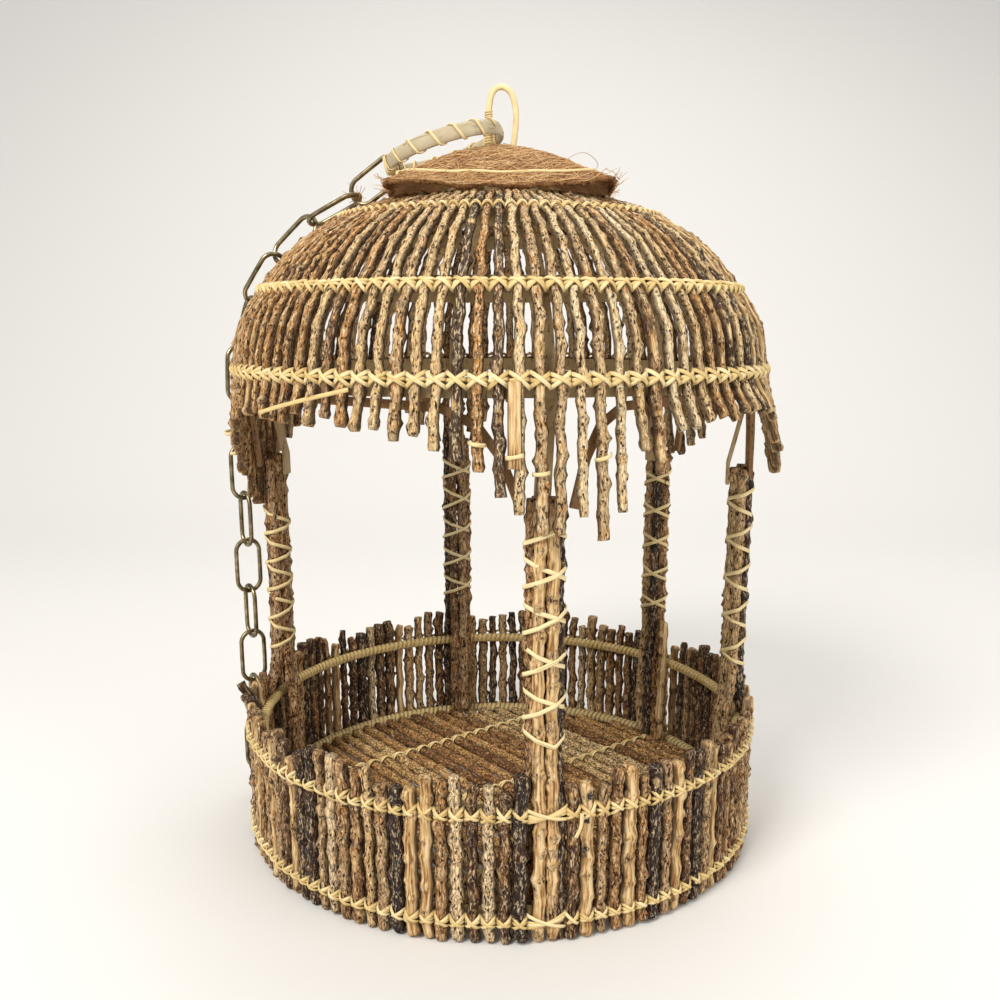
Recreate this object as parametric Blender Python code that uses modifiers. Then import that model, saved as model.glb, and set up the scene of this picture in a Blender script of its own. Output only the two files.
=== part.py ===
"""Twig birdcage: a domed, free-standing cage of lashed twigs, hoops and cane.

The base is a ring of upright twigs lashed to two round hoops, with a floor of
parallel twigs on three split bearers. Five bundled posts carry a dome of
twigs on three flat hoops and bent splints. A coir cap closes the crown, and a
cane loop there holds a ring and the chain that hangs from it.

Metres, +Z up. The cage axis is Z, and Z = 0 is what the cage stands on.
Angles are in degrees from the front (-Y) towards the right (+X).
"""

import math
import random

import bmesh
import bpy
from mathutils import Matrix, Vector

COLLECTION_NAME = "twig_birdcage"
SEED = 11

# Clearances
TOUCH = 0.0003
FACET_SLACK = 0.0005
WINDING_GAP = 0.0009
MERGE_DISTANCE = 0.0001
MILLIMETRE = 0.001

# Where the posts stand, by name, and the bays between them
POST_ANGLES = {
    "front": 8.7,
    "right": 81.0,
    "rear_right": 130.0,
    "rear_left": 193.0,
    "left": 261.0,
}
FULL_TURN = 360.0
HALF_TURN = 180.0

# Dome profile, taken over the lashings
EAVES_RADIUS = 0.1605
EAVES_HEIGHT = 0.291
SHOULDER_RISE = 0.049
CROWN_RADIUS = 0.095
SHOULDER_OUT_SHARE = 0.733
CROWN_RISE = 0.041
SHOULDER_RADIUS = CROWN_RADIUS + (EAVES_RADIUS - CROWN_RADIUS) * SHOULDER_OUT_SHARE
SHOULDER_HEIGHT = EAVES_HEIGHT + SHOULDER_RISE
CROWN_HEIGHT = SHOULDER_HEIGHT + CROWN_RISE
CROWN_SLOPE_SHARE = 0.34
TWIG_END_REACH = 0.0190
TWIG_END_RADIUS = CROWN_RADIUS - TWIG_END_REACH
DOME_BULGE_SHARE = 0.075
LASH_THICK = 0.0006
LASH_HEIGHT = 0.0050
DOME_TWIG = 0.0052
DOME_TWIG_PITCH_DEG = 3.6
SHOULDER_TWIG_SHARE = 0.96
CROWN_TWIG_SHARE = 0.80
END_TWIG_SHARE = 0.70

# Post bundles
POST_DROP = 0.054
POST_TOP = EAVES_HEIGHT - POST_DROP
POST_HALF_WIDTH = 0.0104
POST_HALF_DEPTH = 0.0074
POST_VALLEY_SHARE = 0.80
POST_SWELL_SHARES = (1.0, 1.05, 0.96, 1.03, 1.0)
LOBES = 6
LOBE_REACH_SHARE = math.cos(math.pi / LOBES)

# Fringe under the eaves: high in mid bay, long at the posts
FRINGE_REACH = 0.019
FRINGE_HEIGHT = EAVES_HEIGHT - FRINGE_REACH
FRINGE_DROP = 0.028
FRINGE_SPREAD = 0.003
FRINGE_ROUND_SHARE = 3.0
FRINGE_STEP = 0.0085
POST_FRINGE_SHARES = {
    "front": 0.23, "right": 0.12, "rear_right": 0.18, "rear_left": 0.18, "left": 0.56}
FRINGE_FLARE = 0.0065
FRINGE_FLARE_TO_RIGHT = 0.0042
LONG_FRINGE_SHARES = {("front", 2): 3.9, ("front", 3): 3.2, ("front", 5): 2.3}

# Kinks of the twigs
KINK = 0.0008
THICK_SPREAD_SHARE = 0.10

# Base wall of upright twigs
WALL_HEIGHT = 0.090
WALL_TOP_SPREAD = 0.004
WALL_SET_IN = 0.0045
WALL_INNER_RADIUS = EAVES_RADIUS - WALL_SET_IN
WALL_TWIG = 0.0053
WALL_TWIG_PITCH_DEG = 3.0
WALL_POST_GAP_DEG = 5.0
WALL_FOOT_SPREAD = 0.0012
RIM_DROP = 0.017
RIM_HEIGHT = WALL_HEIGHT - RIM_DROP
FLOOR_HOOP_HEIGHT = 0.0141
ROUND_HOOP_THICK = 0.0058
ROUND_HOOP_STEPS = 36
ROUND_HOOP_SIDES = 5
POST_FORK_RISE = 0.010
POST_FORK_HEIGHT = WALL_HEIGHT + POST_FORK_RISE

# Floor of parallel twigs on split bearers
FLOOR_TWIG = 0.0048
FLOOR_TWIG_COUNT = 28
FLOOR_TURN_DEG = -52.0
BEARER_WIDTH = 0.0120
BEARER_SPACING = 0.085

# Flat hoops inside the dome
FLAT_HOOP_THICK = 0.0024
FLAT_HOOP_HEIGHT = 0.0085
FLAT_HOOP_STEPS = 48
CROWN_HOOP_SET_IN = 0.0045
CROWN_HOOP_RADIUS = CROWN_RADIUS - CROWN_HOOP_SET_IN
HOOP_DROP = 0.0020

# Splints that run down inside the hoops
SPLINT_WIDTH = 0.0085
SPLINT_THICK = 0.0020
SPLINT_WAIST_SHARE = 0.60
SPLINT_RISE = 0.0325
SPLINT_TOP_HEIGHT = CROWN_HEIGHT + SPLINT_RISE
SPLINT_END_RADIUS = 0.0160
SPLINT_LAP = 0.013
SPLINT_FOOT = POST_TOP - SPLINT_LAP

# Cane wound round the posts
WRAP_SET_DOWN = 0.0045
WRAP_SET_UP = 0.008
WRAP_BOTTOM = POST_FORK_HEIGHT + WRAP_SET_UP
WRAP_STRAND = 0.0016
WRAP_TURNS = 5

# Arch braces under the eaves
ARCH_WIDTH = 0.0045
ARCH_LAP = 0.006
ARCH_END_HEIGHT = POST_TOP - ARCH_LAP
ARCH_PLACE_SHARES = (0.0, 0.035, 0.08, 0.15, 0.5, 0.85, 0.92, 0.965, 1.0)
ARCH_ROUND_SHARE = 9.0

# Coir cap and its cord
CAP_SET_IN = 0.010
CAP_WIDTH = (TWIG_END_RADIUS - CAP_SET_IN) * 2
CAP_THICK = 0.0028
CAP_RISE = 0.039
CAP_TOP = CROWN_HEIGHT + CAP_RISE
CAP_ROUND_SHARE = 2.3
CAP_CORNER_POWER = 4
CAP_CELLS = 9
CAP_SLOT_LENGTH = 0.0190
CAP_SLOT_WIDTH = 0.0070
CAP_CORD_THICK = 0.0016
CAP_CORD_STEPS = 6

# Hanging loop
LOOP_RISE = 0.035
LOOP_TOP = CAP_TOP + LOOP_RISE
LOOP_STRAND = 0.0034
LOOP_HALF_WIDTH = 0.0064
LOOP_POINTS = 20
LOOP_SAG = 0.0019

# Ring that hangs in the loop
RING_RADIUS = 0.0362
RING_THICK = 0.0026
RING_WIDTH = 0.0085
RING_END_RISE = 0.0172
RING_RISE = 0.010
RING_PIVOT_HEIGHT = CAP_TOP + RING_RISE
BINDING_STRAND = 0.0014
BINDING_START_DEG = 20.0
BINDING_END_DEG = 168.0
BINDING_TURNS = 6
TIGHT_TURNS = 4
TIGHT_PITCH_DEG = 4.2

# Chain
CHAIN_ANGLE = 260.0
LINK_LENGTH = 0.0380
LINK_WIDTH = 0.0190
LINK_WIRE = 0.0029
LINK_COUNT = 14
LINK_GAP = 0.0006
LINK_ROLLS_DEG = (90.0, 12.0, -62.0)
LINK_ROLL_DEG = 45.0
FLAT_LINK_SHARE = 0.9
FIRST_LINK_SLOPE_DEG = 35.0
CHAIN_CLEARANCE = 0.0043
WALK_STEPS = 200

# Colours, roughness and metallic values
BARK = (0.20, 0.13, 0.085)
PALE_BARK = (0.33, 0.23, 0.14)
DARK_BARK = (0.11, 0.075, 0.055)
CANE = (0.72, 0.58, 0.30)
BAMBOO = (0.42, 0.30, 0.15)
COIR = (0.36, 0.19, 0.08)
BRASS = (0.30, 0.25, 0.15)

SQUARE_CORNER = math.sqrt(2.0)
QUARTER = math.pi / 2.0
EIGHTH = math.pi / 4.0
SQUARE_SIDES = 4
UNIT = 1.0
HALF = 0.5

parts = bpy.data.collections.new(COLLECTION_NAME)


def clear_scene():
    """Start from an empty scene with one collection for the cage."""
    for thing in list(bpy.data.objects):
        bpy.data.objects.remove(thing, do_unlink=True)
    bpy.context.scene.collection.children.link(parts)


def finish(name, colour, roughness, metallic=0.0):
    """A plain Principled material."""
    material = bpy.data.materials.new(name)
    material.use_nodes = True
    shader = material.node_tree.nodes["Principled BSDF"]
    shader.inputs["Base Color"].default_value = (*colour, UNIT)
    shader.inputs["Roughness"].default_value = roughness
    shader.inputs["Metallic"].default_value = metallic
    return material


def add_mesh(name, bm, material):
    """Turn a finished bmesh into one named object of the cage."""
    bmesh.ops.recalc_face_normals(bm, faces=bm.faces)
    mesh = bpy.data.meshes.new(name)
    bm.to_mesh(mesh)
    bm.free()
    return add_object(name, mesh, material)


def add_object(name, data, material):
    """Link a mesh or curve into the cage's collection."""
    thing = bpy.data.objects.new(name, data)
    data.materials.append(material)
    parts.objects.link(thing)
    return thing


def add_strand(name, points, radius, material, cyclic=False, resolution=0):
    """A strand or wire as a poly curve with a round bevel and filled caps."""
    data = bpy.data.curves.new(name, "CURVE")
    data.dimensions = "3D"
    data.bevel_depth = radius
    data.bevel_resolution = resolution
    data.use_fill_caps = not cyclic
    spline = data.splines.new("POLY")
    spline.points.add(len(points) - 1)
    for point, place in zip(spline.points, points):
        point.co = (*place, UNIT)
    spline.use_cyclic_u = cyclic
    return add_object(name, data, material)


def on_ring(radius, angle_deg, height):
    """A point at a radius and an angle from the front, at a height."""
    turn = math.radians(angle_deg)
    return Vector((radius * math.sin(turn), -radius * math.cos(turn), height))


def outward(angle_deg):
    """The level direction away from the cage axis at an angle."""
    return on_ring(UNIT, angle_deg, 0.0)


def sideways(angle_deg):
    """The level direction of growing angle."""
    return Vector((0.0, 0.0, UNIT)).cross(outward(angle_deg))


def add_tube(bm, stations):
    """Loft a four-sided twig or strip through its stations.

    A station is its centre, a direction that the section's thickness faces,
    its half width and its half thickness. It gives back, for each stretch,
    the four side faces, and for each station the direction of its width.
    """
    centres = [station[0] for station in stations]
    rings = []
    sides = []
    last = len(stations) - 1
    for index, (centre, face_way, half_width, half_thick) in enumerate(stations):
        along = centres[min(index + 1, last)] - centres[max(index - 1, 0)]
        along.normalize()
        side = along.cross(face_way).normalized()
        normal = side.cross(along)
        frame = Matrix((side * half_width, normal * half_thick, along)).transposed()
        place = Matrix.Translation(centre) @ frame.to_4x4() @ Matrix.Rotation(EIGHTH, 4, "Z")
        made = bmesh.ops.create_circle(
            bm, cap_ends=index in (0, last), segments=SQUARE_SIDES,
            radius=SQUARE_CORNER, matrix=place)
        rings.append(made["verts"])
        sides.append(side)
    stretches = [bridge(bm, rings[i], rings[i + 1]) for i in range(last)]
    return stretches, sides


def ring_edges(verts):
    """The edges that run round a ring of vertices."""
    members = set(verts)
    return [edge for edge in {e for v in verts for e in v.link_edges}
            if edge.verts[0] in members and edge.verts[1] in members]


def bridge(bm, lower, upper):
    """Join two rings with side faces."""
    edges = sorted(ring_edges(lower) + ring_edges(upper), key=edge_key)
    return bmesh.ops.bridge_loops(bm, edges=edges)["faces"]


def edge_key(edge):
    """A stable order for edges, by where they lie."""
    middle = (edge.verts[0].co + edge.verts[1].co) * HALF
    return tuple(middle)


def facing(faces, way):
    """The face of a stretch that looks most along a direction."""
    middle = sum((face.calc_center_median() for face in faces), Vector()) / len(faces)
    return max(faces, key=lambda face: (face.calc_center_median() - middle).dot(way))


def lash_together(bm, first, second):
    """Join two neighbouring twigs through the sides that face each other."""
    edges = sorted(list(first.edges) + list(second.edges), key=edge_key)
    bmesh.ops.delete(bm, geom=[first, second], context="FACES_ONLY")
    bmesh.ops.bridge_loops(bm, edges=edges)


def lash_row(bm, twigs, stretch):
    """Lash a row of twigs, each to the next, along one stretch."""
    pairs = [(facing(faces[stretch], sides[stretch]),
              facing(next_faces[stretch], -next_sides[stretch]))
             for (faces, sides), (next_faces, next_sides) in zip(twigs, twigs[1:])]
    for first, second in pairs:
        lash_together(bm, first, second)


def bays():
    """Each bay's name, start angle and end angle, post to post."""
    names = list(POST_ANGLES)
    for name, following in zip(names, names[1:] + names[:1]):
        start = POST_ANGLES[name]
        yield name, start, start + (POST_ANGLES[following] - start) % FULL_TURN


def bulged(first, second, share):
    """The middle of two profile points, pushed out square to their chord."""
    chord = second - first
    normal = Vector((chord.y, -chord.x))
    return (first + second) * HALF + normal * share


def dome_profile():
    """The centreline of a dome twig as radius and height, eaves to end."""
    half = DOME_TWIG * HALF
    eaves = Vector((EAVES_RADIUS - LASH_THICK - half, EAVES_HEIGHT))
    slant = Vector((CROWN_RADIUS, CROWN_HEIGHT)) - Vector((EAVES_RADIUS, EAVES_HEIGHT))
    inward = Vector((-slant.y, slant.x)).normalized()
    shoulder = Vector((SHOULDER_RADIUS, SHOULDER_HEIGHT)) + inward * (LASH_THICK + half)
    crown = Vector((CROWN_RADIUS, CROWN_HEIGHT)) + inward * (LASH_THICK + half)
    end = Vector((TWIG_END_RADIUS,
                  crown.y + (crown.x - TWIG_END_RADIUS) * CROWN_SLOPE_SHARE))
    return {
        "eaves": eaves,
        "flank": bulged(eaves, shoulder, DOME_BULGE_SHARE),
        "shoulder": shoulder,
        "brow": bulged(shoulder, crown, DOME_BULGE_SHARE),
        "crown": crown,
        "end": end,
    }


PROFILE = dome_profile()


def profile_stretch(value, axis):
    """The stretch of the profile that holds a height or a radius."""
    line = list(PROFILE.values())
    for first, second in zip(line, line[1:]):
        low, high = sorted((first[axis], second[axis]))
        if low <= value <= high:
            return first, second
    return line[0], line[1]


def inside_radius(height):
    """How far out a piece may reach under the dome twigs at a height."""
    if height <= PROFILE["eaves"].y:
        return PROFILE["eaves"].x - DOME_TWIG * HALF - TOUCH
    first, second = profile_stretch(height, 1)
    share = (height - first.y) / (second.y - first.y)
    chord = second - first
    room = DOME_TWIG * HALF * chord.length / chord.y
    return first.x + chord.x * share - room - TOUCH


def inside_height(radius):
    """How high a piece may reach under the dome twigs at a radius."""
    first, second = profile_stretch(radius, 0)
    share = (radius - first.x) / (second.x - first.x)
    chord = second - first
    room = DOME_TWIG * HALF * chord.length / -chord.x
    return first.y + chord.y * share - room - TOUCH


def post_fringe(post):
    """How low the fringe hangs over a post."""
    return POST_TOP - POST_DROP * POST_FRINGE_SHARES[post]


def fringe_tip(bay, index, count, start_share, rng):
    """How low a dome twig's tip hangs."""
    lean = rng.uniform(-FRINGE_SPREAD, FRINGE_SPREAD)
    if (bay, index) in LONG_FRINGE_SHARES:
        return EAVES_HEIGHT - FRINGE_REACH * LONG_FRINGE_SHARES[(bay, index)]
    posts = list(POST_FRINGE_SHARES)
    following = posts[(posts.index(bay) + 1) % len(posts)]
    off_middle = abs(start_share - HALF) / HALF
    return lean + min(
        FRINGE_HEIGHT - FRINGE_DROP * off_middle ** FRINGE_ROUND_SHARE,
        post_fringe(bay) + FRINGE_STEP * index,
        post_fringe(following) + FRINGE_STEP * (count - 1 - index))


def dome_twig(bm, angle, tip, rng):
    """One kinked twig from its fringe tip up over the dome to the crown."""
    lash = LASH_HEIGHT * HALF
    eaves = PROFILE["eaves"]
    shoulder = PROFILE["shoulder"]
    rise = (PROFILE["brow"] - PROFILE["flank"]).normalized() * lash
    lift = Vector((0.0, lash))
    flare = FRINGE_FLARE + FRINGE_FLARE_TO_RIGHT * outward(angle).x
    line = [
        (Vector((eaves.x + flare, tip)), UNIT, UNIT),
        (eaves - lift, UNIT, 0.0),
        (eaves + lift, UNIT, 0.0),
        (PROFILE["flank"], UNIT, UNIT),
        (shoulder - rise, SHOULDER_TWIG_SHARE, 0.0),
        (shoulder + rise, SHOULDER_TWIG_SHARE, 0.0),
        (PROFILE["brow"], CROWN_TWIG_SHARE, UNIT),
        (PROFILE["crown"], CROWN_TWIG_SHARE, 0.0),
        (PROFILE["end"], END_TWIG_SHARE, 0.0),
    ]
    stations = []
    for point, thick_share, kink_share in line:
        kink = kink_share * KINK
        swell = UNIT + kink_share * rng.uniform(-THICK_SPREAD_SHARE, THICK_SPREAD_SHARE)
        half = DOME_TWIG * HALF * thick_share * swell
        centre = on_ring(point.x + abs(rng.uniform(-kink, kink)), angle, point.y)
        centre += sideways(angle) * rng.uniform(-kink, kink)
        stations.append((centre, outward(angle), half, half))
    return add_tube(bm, stations)


def make_dome(material):
    """Five panels of dome twigs, lashed at the eaves and the shoulder."""
    for bay, start, end in bays():
        rng = random.Random(f"{SEED} dome {bay}")
        bm = bmesh.new()
        count = round((end - start) / DOME_TWIG_PITCH_DEG)
        twigs = []
        for index in range(count):
            share = (index + HALF) / count
            tip = fringe_tip(bay, index, count, share, rng)
            twigs.append(dome_twig(bm, start + (end - start) * share, tip, rng))
        lash_row(bm, twigs, 1)
        lash_row(bm, twigs, 4)
        add_mesh(f"dome_twigs_{bay}", bm, material)


def make_wall(material):
    """Five panels of upright twigs, lashed below their tops at the rim."""
    for bay, start, end in bays():
        rng = random.Random(f"{SEED} wall {bay}")
        bm = bmesh.new()
        first = start + WALL_POST_GAP_DEG
        span = end - WALL_POST_GAP_DEG - first
        gaps = round(span / WALL_TWIG_PITCH_DEG)
        twigs = [wall_twig(bm, first + span * index / gaps, rng)
                 for index in range(gaps + 1)]
        lash_row(bm, twigs, 1)
        add_mesh(f"wall_twigs_{bay}", bm, material)


def wall_twig(bm, angle, rng):
    """One upright twig of the base wall."""
    radius = WALL_INNER_RADIUS + WALL_TWIG * HALF
    lash = LASH_HEIGHT * HALF
    top = WALL_HEIGHT + rng.uniform(-WALL_TOP_SPREAD, WALL_TOP_SPREAD)
    heights = (0.0, RIM_HEIGHT - lash, RIM_HEIGHT + lash, top)
    stations = []
    for height, kink_share in zip(heights, (UNIT, 0.0, 0.0, UNIT)):
        kink = kink_share * WALL_FOOT_SPREAD
        centre = on_ring(radius + rng.uniform(0.0, kink), angle, height)
        centre += sideways(angle) * rng.uniform(-kink, kink) * HALF
        half = WALL_TWIG * HALF * (UNIT - kink_share * rng.uniform(0.0, THICK_SPREAD_SHARE))
        stations.append((centre, outward(angle), half, half))
    return add_tube(bm, stations)


def flat_hoop(name, outer_radius, top, material):
    """A flat bamboo hoop, turned from its section."""
    inner = outer_radius - FLAT_HOOP_THICK
    low = top - FLAT_HOOP_HEIGHT
    turned(name, ((outer_radius, top), (outer_radius, low), (inner, low), (inner, top)),
           FLAT_HOOP_STEPS, material)


def turned(name, outline, steps, material):
    """A closed outline of radius and height turned once round Z."""
    bm = bmesh.new()
    verts = [bm.verts.new((radius, 0.0, height)) for radius, height in outline]
    for first, second in zip(verts, verts[1:] + verts[:1]):
        bm.edges.new((first, second))
    mesh = bpy.data.meshes.new(name)
    bm.to_mesh(mesh)
    bm.free()
    thing = add_object(name, mesh, material)
    screw = thing.modifiers.new("turn", "SCREW")
    screw.steps = steps
    screw.render_steps = steps
    screw.use_merge_vertices = True
    screw.merge_threshold = MERGE_DISTANCE
    return thing


def round_hoop(name, height, material):
    """A round hoop lashed inside the base wall."""
    thick = ROUND_HOOP_THICK * HALF
    bpy.ops.mesh.primitive_torus_add(
        major_radius=WALL_INNER_RADIUS - TOUCH - thick, minor_radius=thick,
        major_segments=ROUND_HOOP_STEPS, minor_segments=ROUND_HOOP_SIDES, location=(0.0, 0.0, height))
    thing = bpy.context.object
    thing.name = name
    thing.data.materials.append(material)
    for holder in list(thing.users_collection):
        holder.objects.unlink(thing)
    parts.objects.link(thing)


def make_hoops(bamboo, cane):
    """The three flat hoops of the dome and the two round ones of the base."""
    eaves_top = EAVES_HEIGHT + FLAT_HOOP_HEIGHT * HALF - HOOP_DROP
    shoulder_top = SHOULDER_HEIGHT + FLAT_HOOP_HEIGHT * HALF - HOOP_DROP
    flat_hoop("eaves_hoop", inside_radius(PROFILE["eaves"].y), eaves_top, bamboo)
    flat_hoop("shoulder_hoop", inside_radius(shoulder_top), shoulder_top, bamboo)
    flat_hoop("crown_hoop", CROWN_HOOP_RADIUS, inside_height(CROWN_HOOP_RADIUS), bamboo)
    round_hoop("rim_hoop", RIM_HEIGHT, cane)
    round_hoop("floor_hoop", FLOOR_HOOP_HEIGHT, cane)


def post_radius():
    """How far out a post's middle stands above the base."""
    return inside_radius(PROFILE["eaves"].y) - POST_HALF_DEPTH * LOBE_REACH_SHARE


def splint_line():
    """A splint's middle as radius and height, from its foot to its end."""
    half = SPLINT_THICK * HALF
    tuck = FLAT_HOOP_THICK + FACET_SLACK + half
    eaves_top = EAVES_HEIGHT + FLAT_HOOP_HEIGHT * HALF
    shoulder_top = SHOULDER_HEIGHT + FLAT_HOOP_HEIGHT * HALF - HOOP_DROP
    crown_foot = inside_height(CROWN_HOOP_RADIUS) - FLAT_HOOP_HEIGHT
    post_back = POST_HALF_DEPTH * LOBE_REACH_SHARE * max(POST_SWELL_SHARES)
    behind_post = post_radius() - post_back - TOUCH - half
    eaves = inside_radius(PROFILE["eaves"].y) - tuck
    shoulder = inside_radius(shoulder_top) - tuck
    flank = (Vector((eaves, eaves_top)) + Vector((shoulder, shoulder_top))) * HALF
    crown = Vector((CROWN_HOOP_RADIUS - tuck - FACET_SLACK * 2.0, crown_foot))
    brow = (Vector((shoulder, shoulder_top)) + crown) * HALF
    end_rise = (CROWN_HOOP_RADIUS - SPLINT_END_RADIUS) / CROWN_HOOP_RADIUS
    return [
        Vector((behind_post, SPLINT_FOOT)),
        Vector((behind_post, POST_TOP)),
        Vector((eaves, EAVES_HEIGHT - FLAT_HOOP_HEIGHT)),
        Vector((eaves, eaves_top)),
        flank,
        Vector((shoulder, shoulder_top - FLAT_HOOP_HEIGHT)),
        brow,
        crown,
        Vector((SPLINT_END_RADIUS,
                crown_foot + (SPLINT_TOP_HEIGHT - crown_foot) * end_rise)),
    ]


def splint_stations(angle):
    """The stations of a splint at one post's angle, foot to end."""
    return [(on_ring(point.x, angle, point.y), outward(angle) + Vector((0.0, 0.0, UNIT)) * HALF,
             SPLINT_WIDTH * HALF, SPLINT_THICK * HALF) for point in splint_line()]


def make_splints(material):
    """One splint over the top from front to rear, and one for each other post."""
    bm = bmesh.new()
    rear = splint_stations(POST_ANGLES["rear_left"])
    top = (Vector((0.0, 0.0, SPLINT_TOP_HEIGHT)), Vector((0.0, 0.0, UNIT)),
           SPLINT_WIDTH * SPLINT_WAIST_SHARE * HALF, SPLINT_THICK * HALF)
    add_tube(bm, splint_stations(POST_ANGLES["front"]) + [top] + rear[::-1])
    add_mesh("splint_front_to_rear", bm, material)
    for post in ("right", "rear_right", "left"):
        bm = bmesh.new()
        add_tube(bm, splint_stations(POST_ANGLES[post]))
        add_mesh(f"splint_{post}", bm, material)


def lobed_ring(bm, angle, radius, height, swell):
    """A ring of the post's section: lobes of twigs with valleys between."""
    frame = Matrix((sideways(angle) * POST_HALF_WIDTH * swell,
                    outward(angle) * POST_HALF_DEPTH * swell,
                    Vector((0.0, 0.0, UNIT)))).transposed()
    place = Matrix.Translation(on_ring(radius, angle, height)) @ frame.to_4x4()
    made = bmesh.ops.create_circle(bm, cap_ends=False, segments=LOBES * 2, radius=UNIT)
    for vert in made["verts"]:
        turn = math.atan2(vert.co.x, vert.co.y) / math.pi * LOBES
        if round(turn) % 2 == 0:
            vert.co *= POST_VALLEY_SHARE
    bmesh.ops.transform(bm, matrix=place, verts=made["verts"])
    return made["verts"]


def leg(bm, face, shift, heights):
    """Draw a half of the bundle down as a leg, moved out of the way first."""
    for height in heights:
        made = bmesh.ops.extrude_discrete_faces(bm, faces=[face])["faces"][0]
        drop = Vector((0.0, 0.0, height - made.calc_center_median().z))
        bmesh.ops.translate(bm, vec=drop + shift, verts=made.verts)
        face = made
        shift = Vector()


def make_post(post, angle, material):
    """A bundle of twigs whose foot forks to straddle the round hoops."""
    bm = bmesh.new()
    radius = post_radius()
    rises = len(POST_SWELL_SHARES)
    rings = []
    for index, swell in enumerate((UNIT,) + POST_SWELL_SHARES):
        height = POST_FORK_HEIGHT + (POST_TOP - POST_FORK_HEIGHT) * index / rises
        swell = min(swell, UNIT) if index == rises else swell
        rings.append(lobed_ring(bm, angle, radius - POST_HALF_DEPTH * (swell - UNIT), height, swell))
    for lower, upper in zip(rings, rings[1:]):
        bridge(bm, lower, upper)
    bm.faces.new(rings[-1])
    middle = on_ring(radius, angle, POST_FORK_HEIGHT)
    ways = [(vert.co - middle).dot(outward(angle)) for vert in rings[0]]
    ends = [index for index, way in enumerate(ways) if abs(way) < TOUCH]
    first, second = ends
    halves = (rings[0][first:second + 1], rings[0][second:] + rings[0][:first + 1])
    hoop_top = RIM_HEIGHT + ROUND_HOOP_THICK * HALF + TOUCH
    floor_top = floor_level() + FLOOR_TWIG * HALF + TOUCH
    for half in halves:
        face = bm.faces.new(half)
        if (face.calc_center_median() - middle).dot(outward(angle)) > 0.0:
            step = WALL_INNER_RADIUS - radius
            leg(bm, face, outward(angle) * step, (hoop_top, 0.0))
        else:
            inner = WALL_INNER_RADIUS - ROUND_HOOP_THICK - TOUCH * 2 - FACET_SLACK
            leg(bm, face, outward(angle) * min(0.0, inner - radius), (hoop_top, floor_top))
    add_mesh(f"post_{post}", bm, material)


def make_wrap(post, angle, material):
    """One unbroken strand wound down a post and back up, crossing itself."""
    strand = WRAP_STRAND * HALF
    swell = max(POST_SWELL_SHARES)
    inner_layer = TOUCH + strand + FACET_SLACK
    outer_layer = inner_layer + WRAP_STRAND + WINDING_GAP
    points = []
    top = post_fringe(post) - WRAP_SET_DOWN
    steps = WRAP_TURNS * LOBES
    for index in range(steps * 2 + 1):
        turn = math.tau * index / LOBES
        down_share = min(index, steps * 2 - index) / steps
        layer_share = min(max((index - steps) / LOBES + HALF, 0.0), UNIT)
        layer = inner_layer + (outer_layer - inner_layer) * layer_share
        height = top + (WRAP_BOTTOM - top) * down_share
        wide = (POST_HALF_WIDTH * swell + layer) * math.sin(turn + math.pi / LOBES)
        deep = (POST_HALF_DEPTH * swell + layer) * math.cos(turn + math.pi / LOBES)
        radius = post_radius() - POST_HALF_DEPTH * (swell - UNIT)
        points.append(on_ring(radius, angle, height)
                      + sideways(angle) * wide + outward(angle) * deep)
    add_strand(f"wrap_{post}", points, strand, material)
    return points


def make_arches(material):
    """A bent cane strip in each bay, from post to post up under the eaves hoop."""
    half = FLAT_HOOP_THICK * HALF
    radius = inside_radius(PROFILE["eaves"].y) - half
    hoop_foot = EAVES_HEIGHT - FLAT_HOOP_HEIGHT * HALF - HOOP_DROP
    top = hoop_foot - TOUCH - ARCH_WIDTH * HALF
    clear = math.degrees((POST_HALF_WIDTH * max(POST_SWELL_SHARES) + ARCH_WIDTH * HALF) / radius)
    for bay, start, end in bays():
        bm = bmesh.new()
        stations = []
        for share in ARCH_PLACE_SHARES:
            angle = start + clear + (end - start - clear * 2) * share
            off_middle = abs(share - HALF) / HALF
            height = top - (top - ARCH_END_HEIGHT) * off_middle ** ARCH_ROUND_SHARE
            stations.append((on_ring(radius, angle, height), outward(angle),
                             ARCH_WIDTH * HALF, half))
        add_tube(bm, stations)
        add_mesh(f"arch_brace_{bay}", bm, material)


def floor_level():
    """The height of the floor twigs' middles."""
    bearer_top = FLOOR_HOOP_HEIGHT - ROUND_HOOP_THICK * HALF - TOUCH
    return bearer_top + TOUCH + FLOOR_TWIG * HALF


def floor_direction():
    """The level direction that the floor twigs run in."""
    turn = math.radians(FLOOR_TURN_DEG)
    return Vector((math.cos(turn), math.sin(turn), 0.0))


def make_floor(material):
    """Parallel twigs cut to the floor hoop, lashed over the middle bearer."""
    run = floor_direction()
    across = Vector((0.0, 0.0, UNIT)).cross(run)
    reach = WALL_INNER_RADIUS - ROUND_HOOP_THICK - FACET_SLACK * 3
    half = FLOOR_TWIG * HALF
    lash = LASH_HEIGHT * HALF
    bm = bmesh.new()
    twigs = []
    for index in range(FLOOR_TWIG_COUNT):
        offset = (reach - half) * (2.0 * (index + HALF) / FLOOR_TWIG_COUNT - UNIT)
        length = math.sqrt(reach ** 2 - (abs(offset) + half) ** 2)
        middle = across * offset + Vector((0.0, 0.0, floor_level()))
        places = (-length, -lash, lash, length)
        stations = [(middle + run * place, Vector((0.0, 0.0, UNIT)), half, half)
                    for place in places]
        twigs.append(add_tube(bm, stations))
    lash_row(bm, twigs[::-1], 1)
    add_mesh("floor_twigs", bm, material)


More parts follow.
